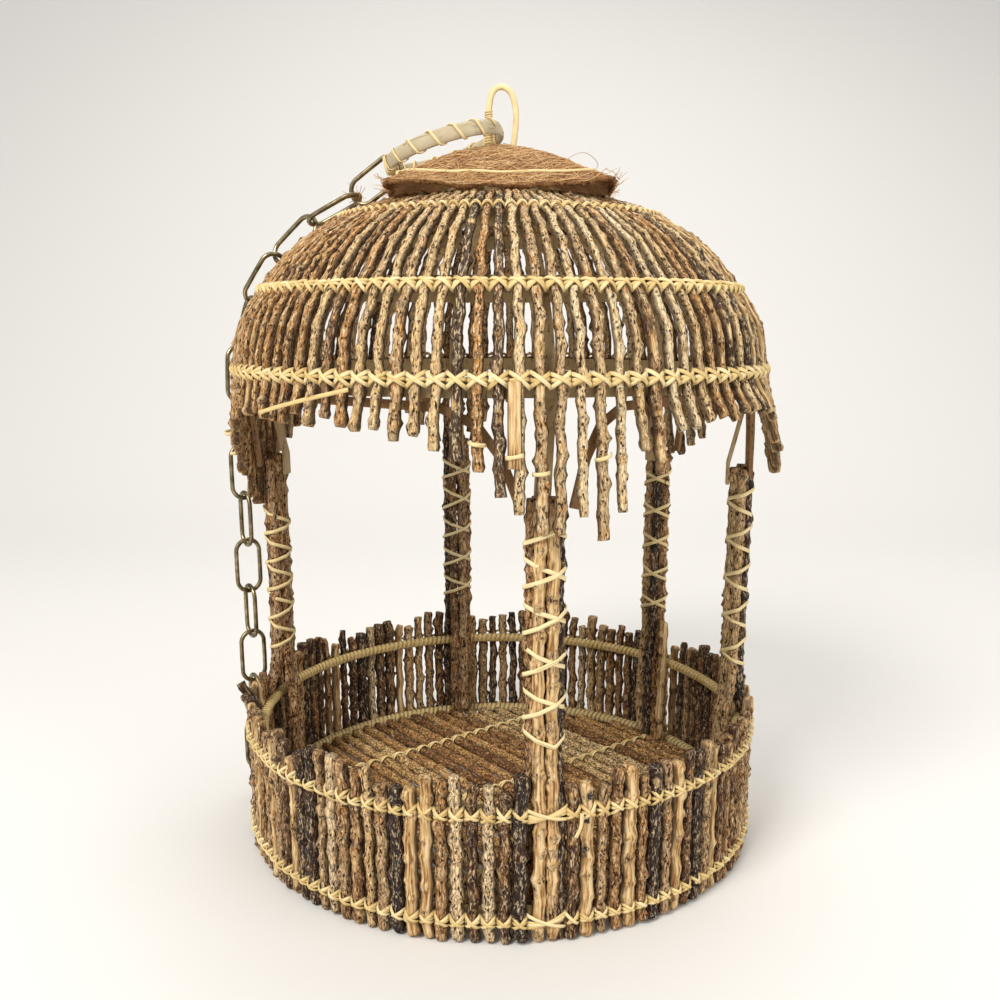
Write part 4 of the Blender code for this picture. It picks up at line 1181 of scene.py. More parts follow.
@dataclass
class Wall:
    """The base wall of upright twigs, lashed at the rim and near the foot.

    Attributes:
        bark, cane: The finishes of its twigs and of its lashings.
        twigs, lashing: How its twigs and its lashings are made.
        radius, twig: How far out its twigs stand, and their own radius.
        thickness, tapers: The shares by which that varies, twig to twig and end to end.
        post_gap_deg, pitch_deg: How far from a post they begin, and how far apart they are.
        height, tops: How high they are, and how far that varies.
        feet, foot_out: How high their feet are, and how far out those may stand.
        wobbles: How many degrees aside their feet and their tops may stand.
        astray_deg: Between which angles they lean far out at the top.
        leans: How far out they lean elsewhere, and there.
        rises: How far the stitches climb at the rim and at the foot.
        stitch_reach, cane_width: How far to each side they go, and how wide they are.
    """

    bark: bpy.types.Material
    cane: bpy.types.Material
    twigs: Twigs = field(default_factory=lambda: Twigs(
        knobs=0.13, wander=0.0007, peeled_share=0.12, mix=(0.13, 0.22, 0.22, 0.22, 0.13, 0.08)))
    lashing: Lashing = Lashing(((1.0, 0.0), (-1.0, 0.0005), (0.15, -0.0002)), (0.7, 1.3))
    radius: float = 0.15865
    twig: float = 0.0036
    thickness: tuple[float, float] = (0.80, 1.14)
    tapers: tuple[float, float] = (0.85, 1.15)
    post_gap_deg: float = 5.0
    pitch_deg: float = 3.0
    height: float = 0.090
    tops: tuple[float, float] = (-0.006, 0.005)
    feet: tuple[float, float] = (0.0009, 0.0018)
    foot_out: float = 0.0008
    wobbles: tuple[float, float] = (0.5, 0.6)
    astray_deg: tuple[float, float] = (272.0, 279.0)
    leans: tuple[tuple[float, float], ...] = ((0.0, 0.0012), (0.004, 0.010))
    rises: tuple[float, float] = (0.0036, 0.0030)
    stitch_reach: float = 0.5
    cane_width: float = 0.0020

    def build(self) -> None:
        """Build the five bays of twigs and their stitches."""
        lash = Bundle("wall_lashing")
        rng = random.Random(47)
        for bay, start, end in bays():
            bark = Bundle(f"wall_bark_{bay}")
            first = start + self.post_gap_deg
            span = end - self.post_gap_deg - first
            gaps = round(span / self.pitch_deg)
            for index in range(gaps + 1):
                self._twig(bark, lash, first + span * index / gaps, span / gaps, rng)
            bark.finish(self.bark, Slot.BARK, [f"wall_twigs_{bay}"])
        lash.finish(self.cane, Slot.CANE)

    def _twig(self, bark: Bundle, lash: Bundle, angle: float, step_deg: float,
              rng: random.Random) -> None:
        """Add one upright twig with its stitches.

        Args:
            bark: The bundle that it joins.
            lash: The bundle of cane that the stitches join.
            angle: Where it stands.
            step_deg: How far it is to the next twig.
            rng: The source of chance.
        """
        top = self.height + rng.uniform(*self.tops)
        low = rng.uniform(*self.feet)
        size = self.twig * rng.uniform(*self.thickness)
        first, last = self.astray_deg
        lean = rng.uniform(*self.leans[first < angle < last])
        foot_aside, top_aside = self.wobbles
        line = [on_ring(self.radius + rng.uniform(0.0, self.foot_out),
                        angle + rng.uniform(-foot_aside, foot_aside), low),
                on_ring(self.radius, angle, FOOT_HEIGHT),
                on_ring(self.radius, angle, RIM_HEIGHT),
                on_ring(self.radius + lean, angle + rng.uniform(-top_aside, top_aside), top)]
        side = sideways(angle)
        self.twigs.add(bark, line, side, size, rng.uniform(*self.tapers), rng)
        for height, rise in zip((RIM_HEIGHT, FOOT_HEIGHT), self.rises):
            self.lashing.tie(lash, on_ring(self.radius, angle, height),
                             (UP, outward(angle), side),
                             math.radians(step_deg) * self.radius * self.stitch_reach, rise,
                             size * 1.04, self.cane_width, rng)


@dataclass
class Posts:
    """The bundled posts, the cane wound round them and their lashings to the base.

    Attributes:
        bark, cane: The finishes of their twigs and of their cane.
        radius, half_width, half_depth: Where a bundle stands, and its size.
        top, top_drop: How high its twigs end at most, and how much lower they may.
        twig, lobes: The twigs' radius, and how many stand round a bundle.
        thickness, taper: The shares by which their radius varies, and is less at the top.
        foot_shift, foot_in: How far outwards and inwards the twigs' feet stand.
        lows: How high the feet of the outer and of the inner twigs are.
        course: The twigs' course over their feet, as heights and shares of the feet's shift.
        twigs, lashing: How its twigs and its lashings are made.
        tones, bare_lobes, bare: The twigs' shades, and which are bare at the front and how far.
        wrap_bottom, wrap_drop: Where the winding ends, and how far under the fringe it begins.
        turns, per_turn: How often it goes round, and its rings in one round.
        slack, under, over: How far it strays, and how far over the twigs its two layers lie.
        strand: Half the winding's width and thickness.
        lash_size: The reach, rise, radius and width of the lashings.
        tail_deg, tail_out, tail: The loose end's place, and its course from there.
    """

    bark: bpy.types.Material
    cane: bpy.types.Material
    radius: float = 0.1483
    half_width: float = 0.0104
    half_depth: float = 0.0074
    top: float = 0.237
    top_drop: float = 0.004
    twig: float = 0.0033
    thickness: tuple[float, float] = (0.92, 1.08)
    taper: float = 0.95
    lobes: int = 6
    foot_shift: float = 0.0090
    foot_in: float = -0.0035
    lows: tuple[float, float] = (0.0012, 0.0178)
    course: tuple[tuple[float, float], ...] = (
        (0.045, 1.0), (0.072, 1.0), (0.100, 0.12), (0.150, 0.0), (0.2, 0.0))
    twigs: Twigs = field(default_factory=lambda: Twigs(
        knobs=0.12, wander=0.0006, peeled_share=0.0))
    tones: tuple[float, ...] = (0.78, 0.04, 0.30, 0.55, 0.40, 0.86)
    bare_lobes: tuple[int, ...] = (0, 5)
    bare: float = 0.7
    wrap_bottom: float = 0.108
    wrap_drop: float = 0.0045
    turns: int = 5
    per_turn: int = 24
    slack: float = 0.0014
    under: float = 0.0001
    over: float = 0.0006
    strand: tuple[float, float] = (0.0013, 0.0004)
    lashing: Lashing = Lashing(
        ((1.0, 0.0), (-1.0, 0.0006), (0.1, -0.0002), (0.55, 0.0003)), tones=(0.3, 1.0))
    lash_size: tuple[float, float, float, float] = (0.0125, 0.0042, 0.0050, 0.0021)
    tail_deg: float = 6.2
    tail_out: float = 0.0158
    tail: tuple[tuple[float, float, float], ...] = (
        (0.0, 0.0, 0.001), (0.0012, 0.3, -0.005), (0.0016, 1.3, -0.0115))

    def build(self) -> None:
        """Build each post's twigs, its winding and its lashings."""
        rng = random.Random(59)
        lash = Bundle("post_lashing")
        for number, (post, angle) in enumerate(POST_ANGLES.items()):
            bark = Bundle(f"post_bark_{post}")
            for lobe, spot in enumerate(self._places()):
                tone = self.tones[(lobe + 2 * number) % len(self.tones)] + rng.uniform(-0.05, 0.05)
                bare = self.bare if not number and lobe in self.bare_lobes else None
                self._twig(bark, angle, spot, rng, tone, bare)
            bark.finish(self.bark, Slot.DARK_BARK, [f"post_{post}"])
            wrap = Bundle(f"post_cane_{post}")
            self._winding(wrap, angle, FRINGE_AT_POST[post] - self.wrap_drop, rng)
            wrap.finish(self.cane, Slot.CANE, [f"wrap_{post}"])
            for height in (RIM_HEIGHT, FOOT_HEIGHT):
                self.lashing.tie(lash, on_ring(self.radius + self.foot_shift, angle, height),
                                 (UP, outward(angle), sideways(angle)), *self.lash_size, rng)
        self._tail(lash)
        lash.finish(self.cane, Slot.CANE)

    def _places(self) -> list[tuple[float, float]]:
        """Where each twig stands in a bundle, across and outwards."""
        turns = [math.pi * (2 * lobe + 1) / self.lobes for lobe in range(self.lobes)]
        return [(math.sin(turn), math.cos(turn)) for turn in turns]

    def _spot(self, angle: float, height: float, wide: float, deep: float) -> Vector:
        """A point of a post, across and outwards from its middle."""
        return (on_ring(self.radius, angle, height) + sideways(angle) * wide
                + outward(angle) * deep)

    def _twig(self, bark: Bundle, angle: float, spot: tuple[float, float], rng: random.Random,
              tone: float, bare: float | None) -> None:
        """Add one twig of a bundle, outside or inside the hoops at its foot.

        Args:
            bark: The bundle that it joins.
            angle: Where the post stands.
            spot: Where the twig stands in it, across and outwards.
            rng: The source of chance.
            tone: Its own shade.
            bare: How bare of bark it is, or None for a chance.
        """
        u, v = spot
        wide = (self.half_width - self.twig) * u
        deep = (self.half_depth - self.twig) * v
        outer = v > 0.1 or (abs(v) < 0.1 and u > 0)
        low = self.lows[0 if outer else 1]
        foot = deep * 0.4 + self.foot_shift if outer else deep + self.foot_in
        course = ((low, 1.0), *self.course, (self.top - rng.uniform(0, self.top_drop), 0.0))
        shape = [self._spot(angle, height, wide, deep + (foot - deep) * push)
                 for height, push in course]
        self.twigs.add(bark, shape, sideways(angle), self.twig * rng.uniform(*self.thickness),
                       self.taper, rng, tone, bare)

    def _taut(self, index: int, layer: float) -> tuple[float, float]:
        """Find where a taut strand lies on the bundle.

        Args:
            index: The number of the strand's ring.
            layer: How far over the twigs it lies.

        Returns:
            The place, across and outwards.
        """
        turn = math.tau * (index + 0.5) / self.per_turn
        way = Vector((math.sin(turn), math.cos(turn)))
        spots = [Vector((u * (self.half_width - self.twig), v * (self.half_depth - self.twig)))
                 for u, v in self._places()]
        spot = max(spots, key=way.dot) + way * (self.twig + layer)
        return spot.x, spot.y

    def _winding(self, wrap: Bundle, angle: float, top: float, rng: random.Random) -> None:
        """Wind one flat strand down the post and back up over itself.

        Args:
            wrap: The bundle that it joins.
            angle: Where the post stands.
            top: Where the strand begins.
            rng: The source of chance.
        """
        steps = self.turns * self.per_turn
        round_once = [Vector(self._taut(index, 0.0)) for index in range(self.per_turn + 1)]
        run = np.cumsum([0.0] + [(b - a).length for a, b in zip(round_once, round_once[1:])])
        knots = [rng.uniform(-self.slack, self.slack) for _ in range(self.turns * 4 + 1)]
        path = []
        for index in range(steps * 2 + 1):
            done = index // self.per_turn + run[index % self.per_turn] / run[-1]
            down = 1.0 - abs(1.0 - done / self.turns)
            over = min(max((index - steps) / self.per_turn + 0.5, 0.0), 1.0)
            height = top + (self.wrap_bottom - top) * down
            height += float(np.interp(done * 2, range(len(knots)), knots))
            layer = self.under + self.over * over
            path.append(self._spot(angle, height, *self._taut(index, layer)))
        wrap.add(path, UP, *self.strand, rng.uniform(0.6, 1.0), 6)

    def _tail(self, lash: Bundle) -> None:
        """Add the cane's loose end that hangs from the rim beside the front post.

        Args:
            lash: The bundle of cane that it joins.
        """
        angle = POST_ANGLES["front"] + self.tail_deg
        line = [on_ring(self.radius + self.tail_out + out, angle - back, RIM_HEIGHT + rise)
                for out, back, rise in self.tail]
        lash.add(smooth_line(line, 8), sideways(angle), 0.0011, 0.0004, 0.9, 6)


@dataclass
class Wrapping:
    """Fine cane wound close round the two round hoops of the base.

    Attributes:
        cane: Its finish.
        radius, thick, clear: The hoops' radius and their wire's, and how far over that it lies.
        heights, tones: For each hoop, its height and the cane's shade.
        turns, steps: How often it goes round, and its rings in one turn.
        strand: Half its width and thickness.
    """

    cane: bpy.types.Material
    radius: float = 0.1528
    thick: float = 0.0029
    clear: float = 0.0002
    heights: tuple[float, ...] = (0.073, 0.0141)
    tones: tuple[float, ...] = (0.35, 0.65)
    turns: int = 260
    steps: int = 9
    strand: tuple[float, float] = (0.0017, 0.0003)

    def build(self) -> None:
        """Wind both hoops."""
        count = self.turns * self.steps
        angles = [360.0 * index / count for index in range(count + 1)]
        for number, height in enumerate(self.heights):
            path = []
            for index, angle in enumerate(angles):
                spin = math.tau * index / self.steps
                path.append(on_ring(
                    self.radius + math.cos(spin) * (self.thick + self.clear), angle,
                    height + math.sin(spin) * (self.thick + self.clear)))
            strand = Bundle(f"hoop_winding_{number}")
            strand.add(path, [sideways(angle) for angle in angles], *self.strand,
                       self.tones[number], 4)
            strand.finish(self.cane, Slot.CANE)


@dataclass
class Floor:
    """The floor of parallel twigs over the floor hoop, with its lashings.

    Attributes:
        bark, cane: The finishes of its twigs and of its lashings.
        height, turn_deg, reach: Its height, how it is turned, and how far out it goes.
        count, twig, thickness: How many twigs it has, their radius, and the shares by which
            that varies.
        bearer_gap, bearer_end: How far apart the bearers are, and how near its end a twig is
            still lashed to them.
        rise, ways: How far a stitch climbs, and each of its strands' share of that.
        cane_width: How wide the strands are.
        twigs: How its twigs are made.
    """

    bark: bpy.types.Material
    cane: bpy.types.Material
    height: float = 0.0137
    turn_deg: float = -52.0
    count: int = 28
    reach: float = 0.1488
    twig: float = 0.0030
    thickness: tuple[float, float] = (0.92, 1.12)
    bearer_gap: float = 0.085
    bearer_end: float = 0.008
    rise: float = 0.0022
    ways: tuple[float, float] = (1.0, -0.4)
    cane_width: float = 0.0019
    twigs: Twigs = field(default_factory=lambda: Twigs(
        ring_gap=0.0030, knobs=0.16, wander=0.0004, peeled_share=0.0,
        mix=(0.10, 0.32, 0.30, 0.20, 0.08)))

    def build(self) -> None:
        """Build the floor's twigs and the stitches over the bearers."""
        rng = random.Random(71)
        bark, lash = Bundle("floor_bark"), Bundle("floor_lashing")
        turn = math.radians(self.turn_deg)
        run = Vector((math.cos(turn), math.sin(turn), 0.0))
        across = UP.cross(run)
        for index in range(self.count):
            offset = (self.reach - self.twig) * (2.0 * (index + 0.5) / self.count - 1.0)
            length = math.sqrt(self.reach ** 2 - (abs(offset) + self.twig) ** 2)
            middle = across * offset + UP * self.height
            line = [middle + run * (length * share) for share in (-1.0, -0.5, 0.0, 0.5, 1.0)]
            size = self.twig * rng.uniform(*self.thickness)
            self.twigs.add(bark, line, across, size, 1.0, rng)
            for row in (-self.bearer_gap, 0.0, self.bearer_gap):
                for way in self.ways if abs(row) <= length - self.bearer_end else ():
                    stitch(lash, middle + run * row, run, UP, across,
                           self.reach / self.count * 1.05, way * self.rise,
                           self.twig * 1.1 + 0.0002 * way, self.cane_width,
                           rng.uniform(0.2, 1.0))
        bark.finish(self.bark, Slot.BARK, ["floor_twigs"])
        lash.finish(self.cane, Slot.CANE)


def plane_of(node: bpy.types.Object) -> tuple[Vector, Vector, Vector, Vector]:
    """Find a flat solid's middle, with its long, middle and short directions.

    Args:
        node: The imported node.

    Returns:
        Its middle point and three directions, by how far it reaches along each.
    """
    places = np.array([vert.co for vert in node.data.vertices])
    middle = (places.max(0) + places.min(0)) / 2.0
    _, _, ways = np.linalg.svd(places - places.mean(0), full_matrices=False)
    return Vector(middle), Vector(ways[0]), Vector(ways[1]), Vector(ways[2])


@dataclass
class Chain:
    """The oval links of the chain, each on its own body.

    Attributes:
        brass: Their finish.
        nodes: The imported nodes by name.
        length, width, wire: A link's size over all, and its wire's.
        points: How many rings of points a link has.
    """

    brass: bpy.types.Material
    nodes: dict[str, bpy.types.Object]
    length: float = 0.0380
    width: float = 0.0190
    wire: float = 0.0029
    points: int = 40

    def build(self) -> None:
        """Build each link in its node's place."""
        radius = (self.width - self.wire) / 2.0
        straight = (self.length - self.width) / 2.0
        for name in sorted(n for n in self.nodes if n.startswith("chain_link_")):
            number = name[-2:]
            middle, long_way, wide_way, thin_way = plane_of(self.nodes[name])
            path = []
            for index in range(self.points + 1):
                turn = math.tau * index / self.points
                ahead = math.cos(turn)
                lift = math.copysign(straight, ahead) if abs(ahead) > 1e-6 else 0.0
                path.append(middle + long_way * (lift + radius * ahead)
                            + wide_way * (radius * math.sin(turn)))
            link = Bundle(f"brass_link_{number}")
            link.add(path, thin_way, self.wire / 2, self.wire / 2, 0.5, 10, closed=True)
            link.finish(self.brass, Slot.BRASS, [name], f"link_{number}")


@dataclass
class Ring:
    """The bamboo ring and the cane bound round it.

    Attributes:
        bamboo, cane: The finishes of the ring and of its binding.
        nodes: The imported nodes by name.
        radius, thick, width: The ring's outer radius and its section.
        loop_height: The height of the loop, towards which the ring is measured.
        points: How many rings of points the ring has.
        start_deg, end_deg: Where the binding begins and ends, from the loop.
        turns, tight: How many of its turns are open and how many close set.
        pitch_deg: How far apart the close ones are.
        steps: How many rings of points a turn has.
    """

    bamboo: bpy.types.Material
    cane: bpy.types.Material
    nodes: dict[str, bpy.types.Object]
    radius: float = 0.0362
    thick: float = 0.0026
    width: float = 0.0085
    loop_height: float = 0.43
    points: int = 96
    start_deg: float = 20.0
    end_deg: float = 168.0
    turns: int = 6
    tight: int = 4
    pitch_deg: float = 4.2
    steps: int = 16

    def build(self) -> None:
        """Build the ring and its two bindings."""
        middle, _, _, normal = plane_of(self.nodes["hanging_ring"])
        if normal.z < 0:
            normal = -normal
        away = UP * self.loop_height - middle
        away = (away - normal * away.dot(normal)).normalized()
        cross = normal.cross(away)
        centre = self.radius - self.thick / 2.0
        turns = [math.tau * index / self.points for index in range(self.points + 1)]
        band = Bundle("ring_band")
        band.add([middle + (away * math.cos(t) + cross * math.sin(t)) * centre for t in turns],
                 normal, self.width / 2, self.thick / 2, 0.5, 12, closed=True)
        band.finish(self.bamboo, Slot.BAMBOO, ["hanging_ring"], Body.RING.value)
        for name, way in (("near", -1.0), ("far", 1.0)):
            self._binding(name, middle, away, cross * way, normal)

    def _binding(self, name: str, middle: Vector, away: Vector, cross: Vector,
                 normal: Vector) -> None:
        """Wind one half's spiral of flat cane, close set at the chain's end.

        Args:
            name: The half's name.
            middle: The ring's middle.
            away: The direction from there to the loop.
            cross: The direction in the ring's plane that the half lies on.
            normal: The direction square to that plane.
        """
        path, sides = [], []
        centre = self.radius - self.thick / 2.0
        place, end = math.radians(self.start_deg), math.radians(self.end_deg)
        pitch = math.radians(self.pitch_deg)
        loose = (end - place - pitch * self.tight) / self.turns
        for index in range((self.turns + self.tight) * self.steps + 1):
            spin = math.tau * index / self.steps
            out, up = math.cos(spin), math.sin(spin)
            square = max(abs(out), abs(up)) ** 0.6
            radial = centre + out / square * (self.thick / 2 + 0.0008)
            flat = up / square * (self.width / 2 + 0.0006)
            path.append(middle + (away * math.cos(place) + cross * math.sin(place)) * radial
                        + normal * flat)
            sides.append(away * -math.sin(place) + cross * math.cos(place))
            place += (loose if index < self.turns * self.steps else pitch) / self.steps
        strand = Bundle(f"ring_cane_{name}")
        strand.add(path, sides, 0.0009, 0.0004, 0.8, 6)
        strand.finish(self.cane, Slot.CANE, [f"ring_binding_{name}"], Body.RING.value)


@dataclass
class Cap:
    """The coir cloth over the crown, its cord and its loose fibres.

    Attributes:
        cloth, fibre, cane: The finishes of the cloth, its fibres and its cord.
        reach, side_reach: How far the hem is from the middle, to the front and to the sides.
        corner_power, corner_lift: How square its corners are, and how far they lift.
        thick, seat: How thick the cloth is, and how far its top lies over the twigs.
        top, power: How high it rises over the crown, and how round.
        slope, crown_radius, crown_height: How the crown's twigs run on inwards.
        cells: How many cells it has each way.
        slot: Half the length and width of the slot that the hanging loop comes through.
        cord_share, cord_steps: How far out the cord lies, and its steps.
        tail_deg, tail: Where the cord's tail leaves it, and how it runs.
        fibre_count, hair_count: How many fibres lie on it, and how many stick out at its hem.
        curl: The straw curl that stands on it.
    """

    cloth: bpy.types.Material
    fibre: bpy.types.Material
    cane: bpy.types.Material
    reach: float = 0.0710
    side_reach: float = 0.0640
    corner_power: float = 12.0
    corner_lift: float = 0.0035
    thick: float = 0.0022
    top: float = 0.4200
    slope: float = 0.34
    crown_radius: float = 0.0950
    crown_height: float = 0.381
    seat: float = 0.0016
    power: float = 1.6
    cells: int = 66
    slot: tuple[float, float] = (0.0092, 0.0030)
    cord_share: float = 0.84
    cord_steps: int = 72
    tail_deg: float = 225.0
    tail: tuple[tuple[float, float, float], ...] = (
        (0.0, 0.0, 0.0), (-0.003, -0.004, -0.0010), (-0.001, -0.0075, -0.0050))
    fibre_count: int = 1500
    hair_count: int = 110
    curl: tuple[tuple[float, float, float], ...] = (
        (0.034, -0.030, 0.4065), (0.041, -0.032, 0.4110), (0.047, -0.030, 0.4128),
        (0.053, -0.026, 0.4105), (0.056, -0.022, 0.4068), (0.0525, -0.020, 0.4040))

    def level(self, x: float, y: float) -> float:
        """The height of the crown's slope, carried on inwards, over a point."""
        return self.crown_height + (self.crown_radius - math.hypot(x, y)) * self.slope

    def share(self, x: float, y: float) -> float:
        """How far out towards the hem a point is."""
        power = self.corner_power
        return (abs(x / self.side_reach) ** power + abs(y / self.reach) ** power) ** (1.0 / power)

    def hem(self, turn: float, share: float = 1.0) -> tuple[float, float]:
        """Find the point in one direction at a share of the way to the hem.

        Args:
            turn: The direction.
            share: The share of the way.

        Returns:
            The point.
        """
        x, y = math.cos(turn), math.sin(turn)
        size = share / self.share(x, y)
        return x * size, y * size

    def height(self, x: float, y: float) -> float:
        """Find the height of the cloth's top over a point.

        Args:
            x: How far the point is to the right.
            y: How far it is to the back.

        Returns:
            The height.
        """
        share = min(self.share(x, y), 1.0)
        rest = self.level(self.reach, 0.0)
        mound = (self.top - rest - self.seat) * (1.0 - share ** self.power)
        corner = min(abs(x * y) / self.reach / self.side_reach / 0.85, 1.0)
        lift = self.corner_lift * share ** 4 * corner ** 2
        ripple = 0.0006 * share ** 4 * math.sin(x * 190 + y * 140)
        return max(self.level(x, y), rest + mound + lift) + self.seat + ripple

    def spot(self, x: float, y: float, lift: float) -> Vector:
        """A point over the cloth."""
        return Vector((x, y, self.height(x, y) + lift))

    def build(self) -> None:
        """Build the cloth, cord and fibres."""
        rng = random.Random(83)
        self._cloth(rng)
        self._fibres(rng)
        self._cord(rng)

    def _cloth(self, rng: random.Random) -> None:
        """Lay the cloth, with a slot for the loop and a ragged hem.

        Args:
            rng: The source of chance.
        """
        sheet = bmesh.new()
        bmesh.ops.create_grid(sheet, x_segments=self.cells, y_segments=self.cells, size=self.reach)
        for vert in sheet.verts:
            x, y = vert.co.x, vert.co.y
            edge = max(abs(x), abs(y)) > self.reach - 0.0005
            if x or y:
                x *= self.side_reach / self.reach
                inwards = max(abs(x) / self.side_reach, abs(y) / self.reach) / self.share(x, y)
                x, y = x * inwards, y * inwards
            lump = 0.0006 * math.sin(x * 310 + 1.3) * math.sin(y * 270) + rng.uniform(0, 0.0004)
            vert.co = self.spot(x, y, lump * 0.7)
            if edge:
                vert.co -= Vector((x, y, 0.0)).normalized() * rng.uniform(-0.0006, 0.0026)
                vert.co.z -= rng.uniform(0.0, 0.0012)
        middles = ((face, face.calc_center_median()) for face in sheet.faces)
        slot = [face for face, middle in middles
                if abs(middle.x) < self.slot[0] and abs(middle.y) < self.slot[1]]
        bmesh.ops.delete(sheet, geom=slot, context="FACES")
        piece = dress(mesh_of("coir_cloth", sheet), self.cloth, ["coir_cap"])
        shell = piece.modifiers.new("cloth", "SOLIDIFY")
        shell.thickness = self.thick
        shell.offset = -1.0

    def _fibres(self, rng: random.Random) -> None:
        """Lay coarse fibres over the cloth, and hairs that stick out at its hem.

        Args:
            rng: The source of chance.
        """
        fibres = Bundle("coir_fibres")
        for number in range(self.fibre_count + self.hair_count):
            hair = number >= self.fibre_count
            x, y = self.hem(rng.uniform(0.0, math.tau), 1.0 if hair else rng.random() ** 0.5)
            turn = rng.gauss(0.45, 0.55) + (1.4 if rng.random() < 0.2 else 0.0)
            if hair:
                turn = math.atan2(y, x) + rng.gauss(0.0, 0.6)
            reach = rng.uniform(*((0.004, 0.012) if hair else (0.012, 0.034)))
            limit = 1.13 if hair else 1.01
            points, rise = [], rng.uniform(0.0, 0.0016) if hair else 0.0
            for step in range(5):
                along = step / 4 - (0.3 if hair else 0.5)
                px, py = x + math.cos(turn) * reach * along, y + math.sin(turn) * reach * along
                inwards = limit / max(self.share(px, py), limit)
                px, py = px * inwards, py * inwards
                lift = rng.uniform(-0.0001, 0.0011) + rise * step
                if abs(px) < 0.011 and abs(py) < 0.0055:
                    lift += 0.001
                points.append(self.spot(px, py, lift))
                turn += rng.uniform(-0.25, 0.25)
            if (points[-1] - points[0]).length < 0.003:
                continue
            size = rng.uniform(0.00012, 0.00024)
            fibres.add(smooth_line(points, 6), Vector((math.sin(turn), -math.cos(turn), 0.02)),
                       size, size, rng.betavariate(1.6, 1.3), 3)
        fibres.add(smooth_line([Vector(spot) for spot in self.curl], 20),
                   Vector((0.0, 1.0, 0.0)), 0.0005, 0.00018, 0.95, 4)
        fibres.finish(self.fibre, Slot.COIR)

    def _cord(self, rng: random.Random) -> None:
        """Draw the cane cord round the cloth over its hem, with its tail.

        Args:
            rng: The source of chance.
        """
        cord = Bundle("cap_tie")
        path = []
        for step in range(self.cord_steps + 1):
            x, y = self.hem(math.tau * step / self.cord_steps, self.cord_share)
            path.append(self.spot(x, y, rng.uniform(0.0007, 0.0010)))
        path[-1] = path[0].copy()
        cord.add(path, UP, 0.0009, 0.0006, 0.8, 6, closed=True)
        start = self.spot(*self.hem(math.radians(self.tail_deg), self.cord_share), 0.0008)
        tail = smooth_line([start + Vector(step) for step in self.tail], 8)
        cord.add(tail, Vector((1.0, 0.0, 0.0)), 0.0009, 0.0005, 0.7, 6)
        cord.finish(self.cane, Slot.CANE, ["cap_cord"])


@dataclass
class Loop:
    """The cane hanging loop, with fine cane wound round one leg.

    Attributes:
        cane: Its finish.
        strand: Its strand's radius.
        foot, top: The heights of its foot and top.
        outline: Its course, as distances to the side and shares of its rise.
        winding_turns, winding_steps: The winding's turns, and the steps of one.
        winding_side, winding_foot, winding_rise: Where the wound leg is and how high.
    """

    cane: bpy.types.Material
    strand: float = 0.0018
    foot: float = 0.4089
    top: float = 0.4532
    outline: tuple[tuple[float, float], ...] = (
        (-0.0030, 0.02), (-0.0058, 0.12), (-0.0066, 0.40), (-0.0066, 0.68), (-0.0046, 0.92),
        (0.0006, 1.0), (0.0062, 0.93), (0.0092, 0.72), (0.0090, 0.46), (0.0066, 0.16),
        (0.0030, 0.02))
    winding_turns: int = 13
    winding_steps: int = 10
    winding_side: float = -0.0066
    winding_foot: float = 0.4215
    winding_rise: float = 0.0185

    def build(self) -> None:
        """Build the loop and its winding."""
        loop = Bundle("loop_cane")
        rise = self.top - self.foot
        spots = [Vector((x, 0.0, self.foot + rise * share)) for x, share in self.outline]
        path = smooth_line(spots + [UP * (self.foot - 0.0002), spots[0]], 72)
        path[-1] = path[0].copy()
        loop.add(path, Vector((0.0, 1.0, 0.0)), self.strand, self.strand, 0.9, 12, closed=True)
        steps = self.winding_turns * self.winding_steps
        out = self.strand + 0.0003
        spins = [math.tau * index / self.winding_steps for index in range(steps + 1)]
        winding = [Vector((self.winding_side + out * math.cos(spin), out * math.sin(spin),
                           self.winding_foot + self.winding_rise * index / steps))
                   for index, spin in enumerate(spins)]
        loop.add(winding, UP, 0.0006, 0.0003, 0.6, 6)
        loop.finish(self.cane, Slot.CANE, ["hanging_loop"])


